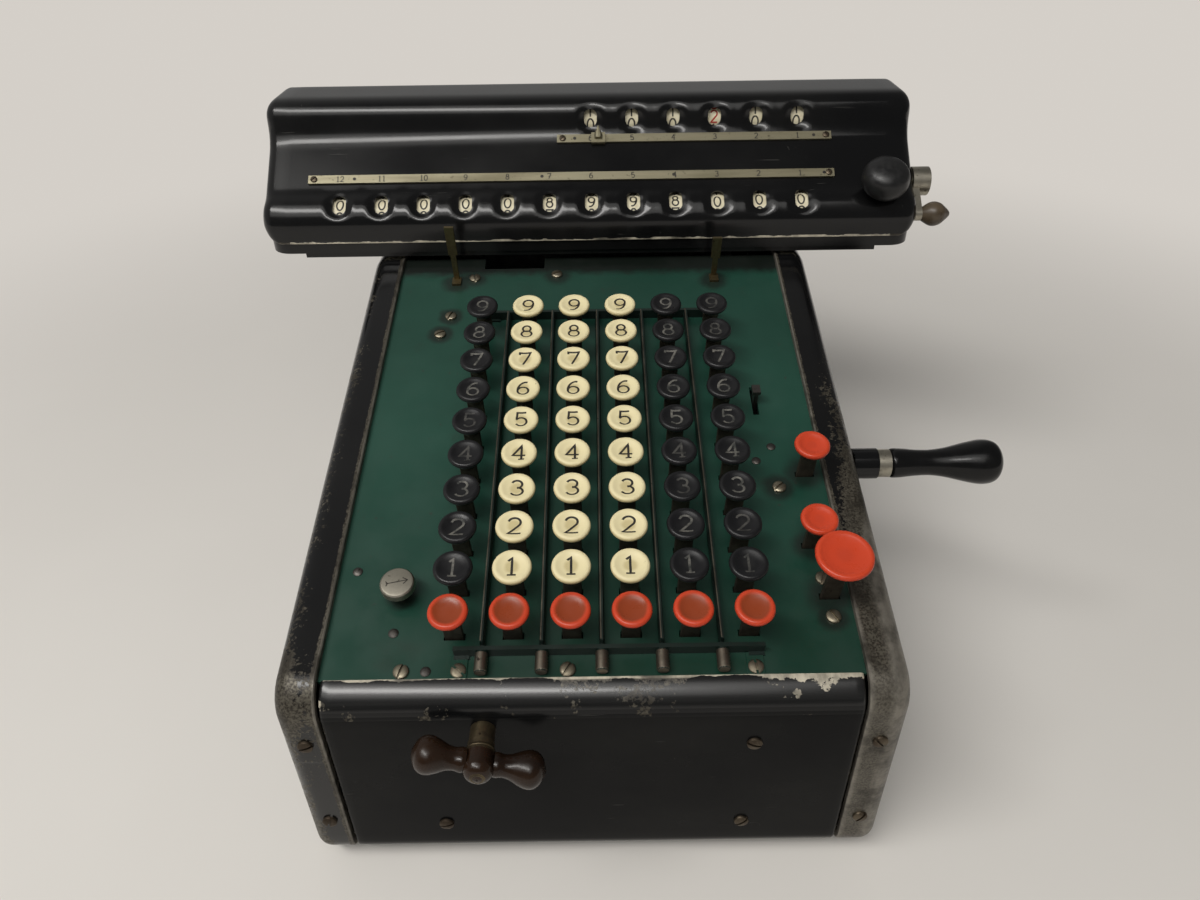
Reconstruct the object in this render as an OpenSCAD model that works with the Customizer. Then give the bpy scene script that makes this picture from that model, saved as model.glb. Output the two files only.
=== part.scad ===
// Hand-cranked full-keyboard calculator with a sliding carriage, in millimetres.
// X runs to the right, Y to the back and Z up; the origin is on the table, in the middle of the outline.

/* [Case] */
// width over the side panels
case_w = 200; // [190:1:230]
// depth from the front face to the back
case_d = 280; // [275:1:310]
// width of the panel flange that shows beside the plate
flange_w = 14; // [11:0.5:18]
// thickness of the panel wall
panel_t = 4; // [3:0.5:6]
// thickness of the panel flanges, also their height above the plate
flange_t = 2.5; // [2:0.1:3.5]
// radius of the upper front corner of a panel
panel_round = 13.5; // [11:0.5:18]
// radius of the lower front edge
under_round = 8; // [5:0.5:8]
// radius of the upper rear corner
rear_round = 10; // [6:0.5:16]
// chamfer of the outer upright edge at the front of a panel
edge_chamfer = 2.4; // [1:0.2:3]
// height of the rubber feet
foot_h = 5; // [3:0.5:9]
// radius of the rubber feet
foot_r = 9; // [6:0.5:11]
// distance of the feet from the front and the back
foot_inset = 24; // [16:1:40]
// thickness of the base plate
base_t = 3; // [2:0.5:4]
// thickness of the rear cover
rear_t = 2.5; // [1.5:0.1:4]

/* [Keyboard plate] */
// slope of the plate in degrees
plate_slope = 15; // [12:0.5:17]
// height of the plate surface at the front face
plate_z = 85.8; // [80:0.2:92]
// thickness of the plate
plate_t = 2; // [1.5:0.1:2.4]
// distance behind the front of the carriage cover at which the panels turn level
level_in = 1; // [-3:0.5:2]
// how far the plate runs on behind that point
plate_tail = 4; // [1:0.5:5]
// distance of the notch in the rear edge from the left seam
notch_in = 37.5; // [36:0.5:42]
// width of the notch in the rear edge
notch_w = 27.5; // [20:0.5:30]
// depth of the notch in the rear edge
notch_d = 7.7; // [6:0.1:8.5]

/* [Front cover] */
// radius of the rounded lip
cover_round = 11; // [9:0.5:13]
// thickness of the front cover
front_t = 2.5; // [1.5:0.1:3.5]
// height of the lip above the plate
lip_rise = 0.8; // [0.4:0.1:1.5]

/* [Digit keys] */
// distance between columns
col_pitch = 19.05; // [18:0.05:19.5]
// distance between rows
row_pitch = 15.9; // [14.5:0.1:16.1]
// sideways position of the middle of the keyboard
col_mid = 3.2; // [0:0.1:4]
// distance of the first row along the plate
row_1 = 39.5; // [38:0.5:41]
// diameter of a key cap
cap_d = 12.9; // [11.5:0.1:14]
// height of a key cap
cap_h = 4.6; // [3.5:0.1:5.5]
// depth of the dish in a cap
cap_dish = 0.9; // [0.4:0.1:1.4]
// height of a key top above the plate
key_top = 17.1; // [15:0.1:19]
// travel of a key
key_travel = 4; // [2:0.5:4]
// width of a key stem
stem_w = 6.2; // [5:0.1:7]
// thickness of a key stem
stem_d = 1.6; // [1.2:0.1:2]
// depth of a key stem below the plate
stem_below = 16; // [10:0.5:17]
// clearance of a stem in its slot, each side
slot_gap = 0.4; // [0.3:0.05:0.5]
// diameter of the neck under a cap
neck_d = 5.6; // [4.8:0.1:6.5]

/* [Red keys] */
// distance of the column clear keys along the plate
red_row = 23.4; // [22.5:0.1:24.5]
// diameter of a small red key
red_d = 12.7; // [11.5:0.1:13.5]
// height of the column clear keys above the plate
red_top = 17.4; // [15:0.1:19]
// travel of the column clear keys
red_travel = 3; // [2:0.5:3]
// distance of the clear key from the right seam
clear_in = 6.7; // [5.5:0.1:7.5]
// distance of the stems of the clear and non-repeat keys from the right seam
function_in = 6.7; // [6.5:0.1:7.5]
// distance of the repeat key from the right seam
repeat_in = 9.4; // [8.5:0.1:10]
// distance of the clear key along the plate
clear_row = 36.4; // [35:0.1:38]
// diameter of the clear key
clear_d = 18.5; // [17:0.5:20]
// height of the clear key above the plate
clear_top = 26; // [23:0.5:28]
// distance of the repeat key along the plate
repeat_row = 56.6; // [55:0.1:59]
// height of the repeat key above the plate when it is latched down
repeat_top = 17; // [15:0.5:18]
// distance of the non-repeat key along the plate
single_row = 88.2; // [84:0.1:92]
// height of the non-repeat key above the plate
single_top = 18; // [16:0.5:20]

/* [Small controls] */
// sideways position of the item count knob, from the left seam
item_in = 22.3; // [19:0.1:24]
// distance of the item count knob along the plate
item_row = 39; // [36:0.5:42]
// diameter of the item count knob
item_d = 11.6; // [10:0.1:14]
// height of the item count knob
item_h = 9; // [6:0.5:11]
// thickness of the item count knob
item_t = 3.4; // [2.5:0.1:4.5]
// sideways position of the index lever, from the right seam
lever_in = 20.6; // [19.5:0.2:22]
// distance of the index lever along the plate
lever_row = 126; // [122:1:130]
// thickness of the index lever
lever_t = 1.6; // [1.2:0.1:2]
// length of the index lever
lever_l = 4.2; // [3:0.1:5]
// height of the index lever above the plate
lever_h = 7; // [5:0.5:9]
// travel of the index lever to each side
lever_travel = 5; // [3:0.5:7]

/* [Decimal markers] */
// distance of the front bar along the plate
bar_front = 17.2; // [16.8:0.1:17.4]
// distance of the rear bar along the plate
bar_rear = 177; // [176:0.5:182]
// height of the bars above the plate
bar_h = 4.4; // [4.2:0.1:4.6]
// thickness of the bars
bar_t = 1.4; // [1:0.1:1.6]
// height of the marker axis above the plate
marker_axis = 2.5; // [2.3:0.1:2.7]
// height of a marker blade above its axis
blade_h = 3.6; // [2.5:0.1:4]
// thickness of a marker blade
blade_t = 0.9; // [0.7:0.1:1.2]
// diameter of a marker pivot
pivot_d = 1.8; // [1.4:0.1:2]
// diameter of the knurled end of a marker
knurl_d = 3.8; // [3:0.1:4]
// length of the knurled end of a marker
knurl_l = 7; // [5:0.5:7.4]

/* [Screws and pointers] */
// diameter of a screw head
screw_d = 5; // [4.5:0.1:6.5]
// height of a screw head
screw_h = 1.2; // [0.8:0.1:1.6]
// width of a screw slot
screw_slot = 0.9; // [0.6:0.1:1.2]
// diameter of a rivet head
rivet_d = 3.4; // [2.5:0.1:4]
// distance of the left column pointer from the left seam
pointer_left = 25.5; // [22:0.5:28]
// distance of the right column pointer from the right seam
pointer_right = 29.5; // [26:0.5:32]
// distance of the pointers in front of the point where the panels turn level
pointer_in = 11.3; // [9:0.1:14]
// height of the left column pointer
pointer_h = 29; // [24:0.5:32]
// height of the right column pointer
pointer_right_h = 21.5; // [18:0.5:26]
// width of the flag of a pointer
pointer_w = 4; // [3:0.2:6]
// thickness of a pointer
pointer_t = 1.2; // [0.8:0.1:1.6]

/* [Crank] */
// distance of the crank axis from the front
crank_y = 142; // [136:1:148]
// height of the crank axis
crank_z = 65; // [64:0.5:68]
// length of the crank arm
arm_l = 54; // [48:1:56]
// angle of the arm above the forward direction at rest
arm_rest = 42; // [30:1:60]
// thickness of the crank arm
arm_t = 4.5; // [3.5:0.1:6]
// width of the crank arm
arm_w = 11; // [9:0.5:14]
// gap between the side panel and the crank arm
arm_gap = 2; // [1.5:0.1:4]
// diameter of the crank and drum shafts
shaft_d = 10; // [8:0.5:11]
// diameter of the collar at the root of the grip
collar_d = 12; // [10:0.5:14]
// length of the collar at the root of the grip
collar_l = 5; // [3:0.5:8]
// length of the nickel ferrule
ferrule_l = 5; // [3:0.5:8]
// diameter of the nickel ferrule
ferrule_d = 11; // [9:0.5:12]
// length of the grip
grip_l = 43.5; // [38:0.5:50]
// largest diameter of the grip
grip_d = 17.5; // [15:0.5:19]
// diameter of the pin inside the grip
grip_pin_d = 6; // [5:0.5:7]
// pitch radius of the drive gears
drive_r = 13.5; // [13:0.1:14]
// number of teeth of a drive gear
drive_n = 18; // [16:1:20]
// face width of a drive gear
drive_w = 6; // [4:0.5:7]
// radius of the actuator drums
drum_r = 15; // [12:0.5:16]
// width of an actuator drum
drum_w = 13.3; // [10:0.1:14]
// height of the steps on a drum
step_h = 2.5; // [1.5:0.1:3]
// running clearance of a shaft, on the radius
run_gap = 0.05; // [0.03:0.01:0.08]

/* [Carriage shift] */
// sideways position of the shift handle
shift_x = -34.5; // [-36:0.5:-34]
// height of the shift handle
shift_z = 74.5; // [72:0.5:75]
// diameter of the shift shaft
shift_d = 8; // [7:0.5:8.5]
// reach of the handle in front of the case
shift_reach = 18; // [15:0.5:24]
// diameter of the hub of the handle
shift_hub_d = 9.5; // [9:0.5:13]
// length of the handle from knob end to knob end
shift_span = 41; // [36:0.5:48]
// tilt of the handle at rest
shift_tilt = 15; // [0:1:30]
// largest diameter of a handle knob
shift_knob_d = 11.5; // [10:0.5:13]
// diameter of the cross bar
shift_bar_d = 5; // [4:0.2:6]
// number of teeth of the shift pinion, for a half turn per column
pinion_n = 12; // [12:2:12]
// distance of the shift gears behind the front rail
gear_in = 8; // [6:0.5:9]
// least depth of the rack under the carriage tray
rack_t = 2.4; // [2:0.1:3]
// face width of the shift gears
gear_w = 4; // [3:0.5:5]

/* [Carriage] */
// sideways position of the left end at rest
carriage_left = -148.6; // [-156:0.2:-140]
// sideways position of the right end at rest
carriage_right = 149.5; // [145:0.5:156]
// gap between the case and the carriage
carriage_gap = 1.6; // [1:0.1:2.5]
// height of the visible front bar of the carriage
frame_bar = 7.3; // [6.5:0.1:9]
// thickness of the carriage tray
tray_t = 3; // [2:0.5:3.5]
// thickness of the cover
cover_t = 2; // [1.5:0.1:2.2]
// distance of the front of the cover from the back of the case
cover_in = 73; // [71:0.5:73.5]
// radius of the lower ridge
ridge_low = 13; // [12.5:0.1:13.5]
// height of the lower ridge axis above the lower edge of the cover
ridge_low_z = 6.4; // [6:0.1:7]
// radius of the upper ridge
ridge_up = 12.5; // [12:0.1:13]
// rise from the lower to the upper ridge axis
ridge_rise = 35; // [34:0.5:37]
// run from the lower to the upper ridge axis
ridge_run = 32.5; // [31.5:0.5:34]
// flat length of the top
top_flat = 18; // [12:0.5:26]
// radius of the rear edge of the cover
cover_rear_r = 12; // [8:0.5:15]
// radius of the upper corners seen from the front
cover_corner = 12; // [8:0.5:16]
// overhang of the cover past the frame at each end
overhang = 17.5; // [15:0.5:22]
// height of the apron under the cover's front edge
apron_h = 5; // [4:0.2:6]
// corner radius of the apron
apron_r = 10; // [8:0.5:12]
// how far the apron is set in from the cover
apron_in = 1; // [0.5:0.1:2]
// slope of the valley between the ridges
valley = 42; // [40:0.5:44]
// columns that the carriage can move to the left
shift_left = 2; // [1:1:2]
// columns that the carriage can move to the right
shift_right = 3; // [2:1:3]
// sideways position of the last lower dial
dial_x = 96.6; // [94:0.2:100]
// window width
window_w = 6; // [4:0.2:7]
// window height in the lower row
window_low_h = 10; // [7:0.2:11]
// window height in the upper row
window_up_h = 8; // [6:0.2:9]
// angle of the lower windows above level
window_low = 54; // [45:1:62]
// angle of the upper windows above level
window_up = 19; // [15:1:40]
// gap between a dial and the cover
dial_gap = 0.8; // [0.5:0.1:1.2]
// width of a dial
dial_w = 12; // [9:0.5:15]
// diameter of a dial shaft
dial_shaft_d = 6; // [4:0.5:7]
// reach of the upper strip, and of the right end of both strips, past the outer dials
strip_over = 15.5; // [14:0.5:18]
// reach of the left end of the lower strip past the outer dial
strip_low_over = 14.5; // [13:0.5:17]
// distance of the slider from the left end of its strip
slider_in = 19; // [15:0.5:22]
// width of a scale strip
strip_w = 4; // [3:0.2:4.6]
// thickness of a scale strip
strip_t = 1; // [0.6:0.1:1.4]
// width of a carriage rail
rail_w = 6; // [4:0.5:7]
// height of a carriage rail
rail_h = 7; // [6.5:0.1:8]
// distance of the front rail behind the lower ridge axis
rail_front = 13; // [12.5:0.5:15]
// distance between the rails
rail_span = 29; // [27:0.5:30]
// wall of a rail guide
guide_t = 3; // [2:0.5:4]
// diameter of the mushroom knob
knob_d = 21; // [17:0.5:24]
// height of the mushroom knob above the cover
knob_h = 12.5; // [10:0.5:16]
// angle of the mushroom knob above level
knob_angle = 62; // [50:1:70]
// distance of the clearing axis behind the lower ridge axis
clear_run = 10; // [9:0.5:12]
// rise of the clearing axis above the lower ridge axis
clear_rise = 11; // [9:0.5:12]
// diameter of the clearing hub
clear_hub_d = 13; // [10:0.5:14]
// length of the clearing hub
clear_hub_l = 8; // [6:0.5:11]
// length of the clearing arm
clear_arm_l = 17.5; // [14:0.5:20]
// angle of the clearing arm below the forward direction at rest
clear_arm_rest = 38; // [20:1:60]
// length of the wooden clearing knob
clear_knob_l = 13; // [10:0.5:16]
// diameter of the wooden clearing knob
clear_knob_d = 11; // [9:0.5:12]

/* [Hidden] */
$fn = 64;

// small overrun that lets a cut pass right through
cut = 1;
// hair by which a rounding is larger, so that its arc crosses its lines cleanly
ease = 0.002;
half_w = case_w / 2;
wall_x = half_w - panel_t;
seam_x = half_w - flange_w;
sl = sin(plate_slope);
cl = cos(plate_slope);
tl = tan(plate_slope);

// places of the carriage and its gears, from the back of the case
cover_y = case_d - cover_in;
level_y = cover_y + level_in;
low_y = cover_y + ridge_low;
rail_y = low_y + rail_front;
gear_y = rail_y + rail_w + gear_in;

// heights of the lines of the case
function plate_at(y) = plate_z + y * tl;
function flange_at(y) = plate_at(y) + flange_t / cl;
level_z = flange_at(level_y);
under_t = plate_t / cl;

// front cover: centre of the lip and the end of its arc
lip_c = [cover_round, plate_at(cover_round) + lip_rise / cl - cover_round / cl];
lip_y = cover_round * (1 - sl);
plate_start = (lip_y + lip_rise * sl) / cl;
plate_end = (level_y + plate_tail) / cl;
panel_c = [panel_round, flange_at(panel_round) - panel_round / cl];

// front edge of the lid behind the shift gears
lid_y = gear_y + gear_w + 6;

// keys
cols = 6;
rows = 9;
function col_x(c) = col_mid + (c - (cols + 1) / 2) * col_pitch;
function row_s(r) = row_1 + (r - 1) * row_pitch;
black_cols = [1, 5, 6];
ivory_cols = [2, 3, 4];
function_x = seam_x - function_in;
clear_x = seam_x - clear_in;
repeat_x = seam_x - repeat_in;
neck_l = 3;

// small controls
item_x = item_in - seam_x;
lever_x = seam_x - lever_in;
post_d = item_d / 3;

// decimal markers
marker_hole = pivot_d / 2 + run_gap;
bar_tab = 5;
bar_left = col_x(1) + 0.5;
bar_right = col_x(cols) + 4;
bar_foot = 2;

// carriage levels, from the case upwards
carriage_z = level_z + carriage_gap;
cover_z = carriage_z + frame_bar;
tray_z = level_z + rail_h;
low_z = cover_z + ridge_low_z;
up_y = low_y + ridge_run;
up_z = low_z + ridge_rise;
top_z = up_z + ridge_up;
back_c = [up_y + top_flat, top_z - cover_rear_r];
back_y = back_c[0] + cover_rear_r;
cheek_t = 3;
clear_arm_x = 0.5;
frame_left = carriage_left + overhang;
frame_right = carriage_right - overhang;
ridge_end = 101;
valley_1 = [low_y, low_z] + ridge_low * [cos(ridge_end), sin(ridge_end)];
valley_end = up_y - ridge_up - 0.8;
valley_2 = [valley_end, valley_1[1] + (valley_end - valley_1[0]) * tan(valley)];
low_dials = 12;
up_dials = 6;
low_dial_r = ridge_low - cover_t - dial_gap;
up_dial_r = ridge_up - cover_t - dial_gap;
dial_slot = sqrt(pow(low_dial_r, 2) - pow(low_z - tray_z - tray_t, 2)) + dial_gap;
clear_y = low_y + clear_run;
clear_z = low_z + clear_rise;
strip_low_left = dial_x - (low_dials - 1) * col_pitch - strip_low_over;
strip_up_left = dial_x - (up_dials - 1) * col_pitch - strip_over;
strip_right = dial_x + strip_over;
slider_x = strip_up_left + slider_in;
knob_x = frame_right;

// shift gears: one column is half a turn of the pinion
gear_pitch = 2 * col_pitch / pinion_n;
pinion_r = pinion_n * gear_pitch / (2 * PI);
idler_n = floor((tray_z - rack_t - shift_z - pinion_r) * PI / gear_pitch);
idler_r = idler_n * gear_pitch / (2 * PI);
idler_z = shift_z + pinion_r + idler_r;
rack_z = idler_z + idler_r;
gear_add = 0.7;
gear_ded = 1;
gear_end = gear_y + gear_w + 1;
rack_shift = idler_n % 2 == 0 ? gear_pitch / 2 : 0;
rack_left = shift_right * pinion_n / 2 + 2;
rack_right = shift_left * pinion_n / 2 + 2;

// inner frame: it clears the shift idler at the sides and the pressed key stems above
frame_t = 3;
frame_gap = 2;
frame_x = idler_r + gear_add - shift_x + frame_gap;
frame_drop = (stem_below + key_travel + frame_gap) / cl;
frame_front = lip_y + 5;
frame_rear = case_d - 18;
cross_t = 3;
cross_gap = 3;
cross_y = gear_y - cross_gap - cross_t;
rod_d = 8;

// crank
arm_x = half_w + arm_gap;
collar_x = arm_x + arm_t;
ferrule_x = collar_x + collar_l;
grip_gap = 0.4;
grip_x = ferrule_x + ferrule_l + grip_gap;
grip_y = crank_y - arm_l * cos(arm_rest);
grip_z = crank_z + arm_l * sin(arm_rest);
drum_z = crank_z - 2 * drive_r;
drive_x = frame_x + frame_t + 2;
steps = 9;

// middle of the outline
mid_x = (carriage_left + carriage_right + clear_arm_x + cheek_t + clear_knob_l) / 2;
mid_y = (back_y - shift_reach) / 2;

// places everything on the origin under the middle of the outline
module in_frame() translate([-mid_x, -mid_y, 0]) children();

// puts children on the plate at a sideways position and a distance along it
module on_plate(x, s) translate([x, s * cl, plate_z + s * sl]) rotate([plate_slope, 0, 0]) children();

// extrudes a side-view outline from one sideways position to another
module along_x(x0, x1) translate([x0, 0, 0]) rotate([90, 0, 90]) linear_extrude(x1 - x0) children();

// extrudes a front-view outline from one depth to another
module along_y(y0, y1) translate([0, y1, 0]) rotate([90, 0, 0]) linear_extrude(y1 - y0) children();

module rod_x(d, x0, x1, y, z) translate([x0, y, z]) rotate([0, 90, 0]) cylinder(d = d, h = x1 - x0);

module rod_y(d, x, y0, y1, z) translate([x, y0, z]) rotate([-90, 0, 0]) cylinder(d = d, h = y1 - y0);

module box(lo, hi) translate(lo) cube(hi - lo);

// the part of a corner that lies outside its rounding, between two directions from the centre
module corner_waste(c, r, a0, a1) difference() {
    polygon([c, c + 2 * r * [cos(a0), sin(a0)], c + 3 * r * [cos((a0 + a1) / 2), sin((a0 + a1) / 2)],
        c + 2 * r * [cos(a1), sin(a1)]]);
    translate(c) circle(r + ease);
}

// the sharp corner of an arc
function sharp(c, r, a0, a1) =
    c + r / cos((a1 - a0) / 2) * [cos((a0 + a1) / 2), sin((a0 + a1) / 2)];

// toothed outline with straight flanks; a tooth points along the first axis
module toothed(n, r, add, ded, play) {
    half = PI * r / n / 2 - play;
    lean = tan(20);
    p = [[r - ded, half + ded * lean], [r + add, half - add * lean]];
    corners = [[p[0][0], -p[0][1]], [p[1][0], -p[1][1]], p[1], p[0]];
    polygon([for (i = [0 : n - 1]) for (c = corners)
        let (a = 360 * i / n + c[1] / c[0] * 180 / PI) [c[0] * cos(a), c[0] * sin(a)]]);
}

// case

module base_plate() in_frame() color([0.09, 0.09, 0.09])
    box([-wall_x, lip_y, foot_h], [wall_x, case_d - max(flange_t, rear_t), foot_h + base_t]);

module panel_outline(d, drop) difference() {
    polygon([
        [d, foot_h - drop],
        sharp(panel_c, panel_round - d, 90 + plate_slope, 180),
        [level_y + d * tan(plate_slope / 2), level_z - d],
        [case_d - d, level_z - d],
        [case_d - d, foot_h - drop]]);
    corner_waste(panel_c, panel_round - d, 90 + plate_slope, 180);
    corner_waste([case_d - rear_round, level_z - rear_round], rear_round - d, 0, 90);
    if (drop == 0) corner_waste([under_round, foot_h + under_round], under_round, 180, 270);
}

module panel_body() {
    difference() {
        intersection() {
            along_x(seam_x, half_w) panel_outline(0, 0);
            translate([0, 0, -cut]) linear_extrude(level_z + 2 * cut)
                polygon([[0, -cut], [half_w - edge_chamfer - cut, -cut], [half_w + cut, edge_chamfer + cut],
                    [half_w + cut, case_d + cut], [0, case_d + cut]]);
        }
        along_x(seam_x - cut, wall_x) panel_outline(flange_t, under_round);
    }
}

module left_side_panel() in_frame() color([0.05, 0.05, 0.05]) mirror([1, 0, 0]) panel_body();

module right_side_panel() in_frame() color([0.05, 0.05, 0.05]) difference() {
    panel_body();
    rod_x(shaft_d + 2 * run_gap, wall_x - cut, half_w + cut, crank_y, crank_z);
}

module front_outline(d, end) difference() {
    polygon([
        [d, foot_h + d],
        sharp(lip_c, cover_round - d, 90 + plate_slope, 180),
        lip_c + (cover_round - d) * [-sl, cl] + end * [cl, sl],
        [lip_y + end, foot_h + d]]);
    corner_waste(lip_c, cover_round - d, 90 + plate_slope, 180);
    corner_waste([under_round, foot_h + under_round], under_round - d, 180, 270);
}

module front_cover() in_frame() color([0.05, 0.05, 0.05]) difference() {
    along_x(-seam_x, seam_x) difference() {
        front_outline(0, 0);
        front_outline(front_t, cut);
    }
    rod_y(shift_d + 2 * run_gap, shift_x, -cut, lip_y, shift_z);
}

module plate_slot(x, s, w, d) on_plate(x, s)
    translate([-w / 2 - slot_gap, -d / 2 - slot_gap, -plate_t - cut])
    cube([w + 2 * slot_gap, d + 2 * slot_gap, plate_t + 2 * cut]);

module plate_hole(x, s, d) on_plate(x, s) translate([0, 0, -plate_t - cut])
    cylinder(d = d, h = plate_t + 2 * cut);

module keyboard_plate() in_frame() color([0.04, 0.2, 0.14]) difference() {
    on_plate(0, 0) {
        box([-seam_x, plate_start, -plate_t], [seam_x, plate_end, 0]);
        box([-wall_x, panel_round, -plate_t], [wall_x, level_y / cl, 0]);
    }
    for (c = [1 : cols]) {
        for (r = [1 : rows]) plate_slot(col_x(c), row_s(r), stem_w, stem_d);
        plate_slot(col_x(c), red_row, stem_w, stem_d);
    }
    plate_slot(repeat_x, repeat_row, stem_w, stem_d);
    plate_slot(function_x, single_row, stem_w, stem_d);
    plate_slot(function_x, clear_row, stem_w, stem_d);
    plate_slot(lever_x, lever_row, lever_t, lever_l + 2 * lever_travel);
    plate_hole(item_x, item_row, post_d + 2 * run_gap);
    on_plate(notch_in - seam_x, plate_end) box([0, -notch_d, -plate_t - cut], [notch_w, cut, cut]);
}

module rear_cover() in_frame() color([0.05, 0.05, 0.05]) along_x(-seam_x, seam_x) difference() {
    panel_outline(0, under_round);
    panel_outline(rear_t, 2 * under_round);
    translate([-cut, -under_round]) square([lid_y + cut, 2 * level_z]);
    translate([-cut, -2 * under_round]) square([2 * case_d, 2 * under_round + foot_h]);
}

module rubber_feet() in_frame() color([0.08, 0.08, 0.08])
    for (x = [-1, 1], y = [foot_inset, case_d - foot_inset])
        translate([x * (wall_x - foot_r), y, 0]) cylinder(r = foot_r, h = foot_h);

module frame_outline() {
    z0 = foot_h + base_t;
    top = plate_at(level_y - 2 * plate_tail) - frame_drop;
    polygon([[frame_front, z0], [frame_front, plate_at(frame_front) - frame_drop],
        [level_y - 2 * plate_tail, top], [frame_rear, top], [frame_rear, z0]]);
}

module inner_frame() in_frame() color([0.35, 0.35, 0.36]) {
    difference() {
        union() {
            for (x = [-frame_x - frame_t, frame_x]) along_x(x, x + frame_t) frame_outline();
            box([-frame_x, cross_y, foot_h + base_t],
                [frame_x, cross_y + cross_t, idler_z + 4 * pinion_r]);
            for (p = [[crank_y / 3, drum_z], [level_y, drum_z], [frame_front + rod_d, drum_z]])
                rod_x(rod_d, -frame_x, frame_x, p[0], p[1]);
        }
        rod_y(shift_d + 2 * run_gap, shift_x, cross_y - cut, cross_y + cross_t + cut, shift_z);
        rod_x(shaft_d + 2 * run_gap, frame_x - cut, frame_x + frame_t + cut, crank_y, crank_z);
        rod_x(shaft_d + 2 * run_gap, -frame_x - frame_t - cut, frame_x + frame_t + cut,
            crank_y, drum_z);
    }
    rod_y(shift_d, shift_x, cross_y, gear_end, idler_z);
}

module carriage_rails() in_frame() color([0.55, 0.55, 0.56])
    for (y = [rail_y, rail_y + rail_span])
        box([-wall_x, y, level_z], [wall_x, y + rail_w, level_z + rail_h]);

module marker_bar(s) on_plate(0, s) difference() {
    union() {
        box([bar_left, -bar_t / 2, 0], [bar_right, bar_t / 2, bar_h]);
        for (x = [bar_left, bar_right - bar_tab])
            box([x, -bar_foot, 0], [x + bar_tab, bar_t / 2, bar_t / 2]);
    }
    for (c = [1 : cols - 1])
        translate([col_x(c) + col_pitch / 2, -bar_t, marker_axis]) rotate([-90, 0, 0])
            cylinder(r = marker_hole, h = 2 * bar_t);
}

module marker_bars() in_frame() color([0.12, 0.13, 0.12]) {
    marker_bar(bar_front);
    marker_bar(bar_rear);
}

module pointer(h) {
    box([-pointer_t, -pointer_t / 2, 0], [pointer_t, pointer_t / 2, h / 2]);
    box([-pointer_w / 2, -pointer_t / 2, h / 2], [pointer_w / 2, pointer_t / 2, h]);
    box([-pointer_w / 2, -pointer_w, 0], [pointer_w / 2, pointer_t / 2, pointer_t]);
}

module column_pointers() in_frame() color([0.5, 0.42, 0.24]) {
    on_plate(pointer_left - seam_x, pointer_s) pointer(pointer_h);
    on_plate(seam_x - pointer_right, pointer_s) pointer(pointer_right_h);
}

module screw_head(d) difference() {
    cylinder(d = d, h = screw_h);
    translate([-d, -screw_slot / 2, screw_h / 2]) cube([2 * d, screw_slot, screw_h]);
}

// what stands behind the rear bar keeps clear of it
behind_bar = bar_rear + 2 * bar_t + screw_h;
pointer_s = max(level_y / cl - pointer_in, behind_bar + pointer_w);

// screws: distance from the left or right seam, place along the plate, turn of the slot
left_screws = [[21.5, bar_rear - 9.4, 30], [25, bar_rear + 2.1, 65],
    [33.5, max(plate_end - 14.5, behind_bar + screw_d / 2), 100],
    [71, max(plate_end - 12.5, behind_bar + screw_d), 20]];
right_screws = [[16.9, single_row - 5.9, 40], [6.8, clear_row - 7.7, 120], [7.8, clear_row + 6.9, 70]];
// screws in front of the front bar: distance from the middle of the keyboard, turn of the slot
bar_screws = [[-63.4, 75], [-45.3, 140], [-10.9, 60], [48.4, 95]];
bar_screw_in = 5.8;
left_rivets = [[6, 48.6], [21.5, 25], [33.5, bar_front - bar_screw_in]];
right_rivets = [[17.2, 101.8], [23.7, 95]];
// screws of the front: distance from the middle, height, turn of the slot
cover_screws = [[-51.6, 23.5, 15], [51.6, 65.7, 160], [50.7, 22.7, 40]];
panel_screws = [[-1, 67.2, 20], [-1, 25.8, 70], [1, 65.7, 130], [1, 24.2, 55]];

module plate_screw(x, s, a) on_plate(x, s) rotate([0, 0, a]) screw_head(screw_d);

module front_screw(x, z, a) translate([x, 0, z]) rotate([90, 0, 0]) rotate([0, 0, a]) screw_head(screw_d);

module rivet(x, s) on_plate(x, s) cylinder(d = rivet_d, h = screw_h / 2);

module case_screws() in_frame() color([0.5, 0.47, 0.38]) {
    for (p = left_screws) plate_screw(p[0] - seam_x, p[1], p[2]);
    for (p = right_screws) plate_screw(seam_x - p[0], p[1], p[2]);
    for (p = bar_screws) plate_screw(col_mid + p[0], bar_front - bar_screw_in, p[1]);
    for (p = left_rivets) rivet(p[0] - seam_x, p[1]);
    for (p = right_rivets) rivet(seam_x - p[0], p[1]);
    for (p = cover_screws) front_screw(p[0], p[1], p[2]);
    for (p = panel_screws) front_screw(p[0] * (seam_x + (flange_w - edge_chamfer) / 2), p[1], p[2]);
}

// keys

module cap(d, top) rotate_extrude() polygon([
    [0, top - cap_h],
    [d / 2 - cap_dish, top - cap_h],
    [d / 2, top - cap_h + cap_dish],
    [d / 2, top - cap_dish],
    [d / 2 - cap_dish / 2, top],
    [d / 2 - cap_dish * 1.5, top],
    [d / 2 - cap_dish * 2.5, top - cap_dish],
    [0, top - cap_dish]]);

module key(d, top, shift = 0) {
    cap(d, top);
    translate([0, 0, top - cap_h - neck_l]) cylinder(d = neck_d, h = neck_l);
    translate([shift - stem_w / 2, -stem_d / 2, -stem_below])
        cube([stem_w, stem_d, stem_below + top - cap_h - neck_l / 2]);
}

module digit_keys(digit, at) for (c = at) on_plate(col_x(c), row_s(digit)) key(cap_d, key_top);

module black_keys(digit) in_frame() color([0.06, 0.06, 0.06]) digit_keys(digit, black_cols);

module ivory_keys(digit) in_frame() color([0.9, 0.85, 0.66]) digit_keys(digit, ivory_cols);

module column_clear_keys() in_frame() color([0.75, 0.13, 0.08])
    for (c = [1 : cols]) on_plate(col_x(c), red_row) key(red_d, red_top);

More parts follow.
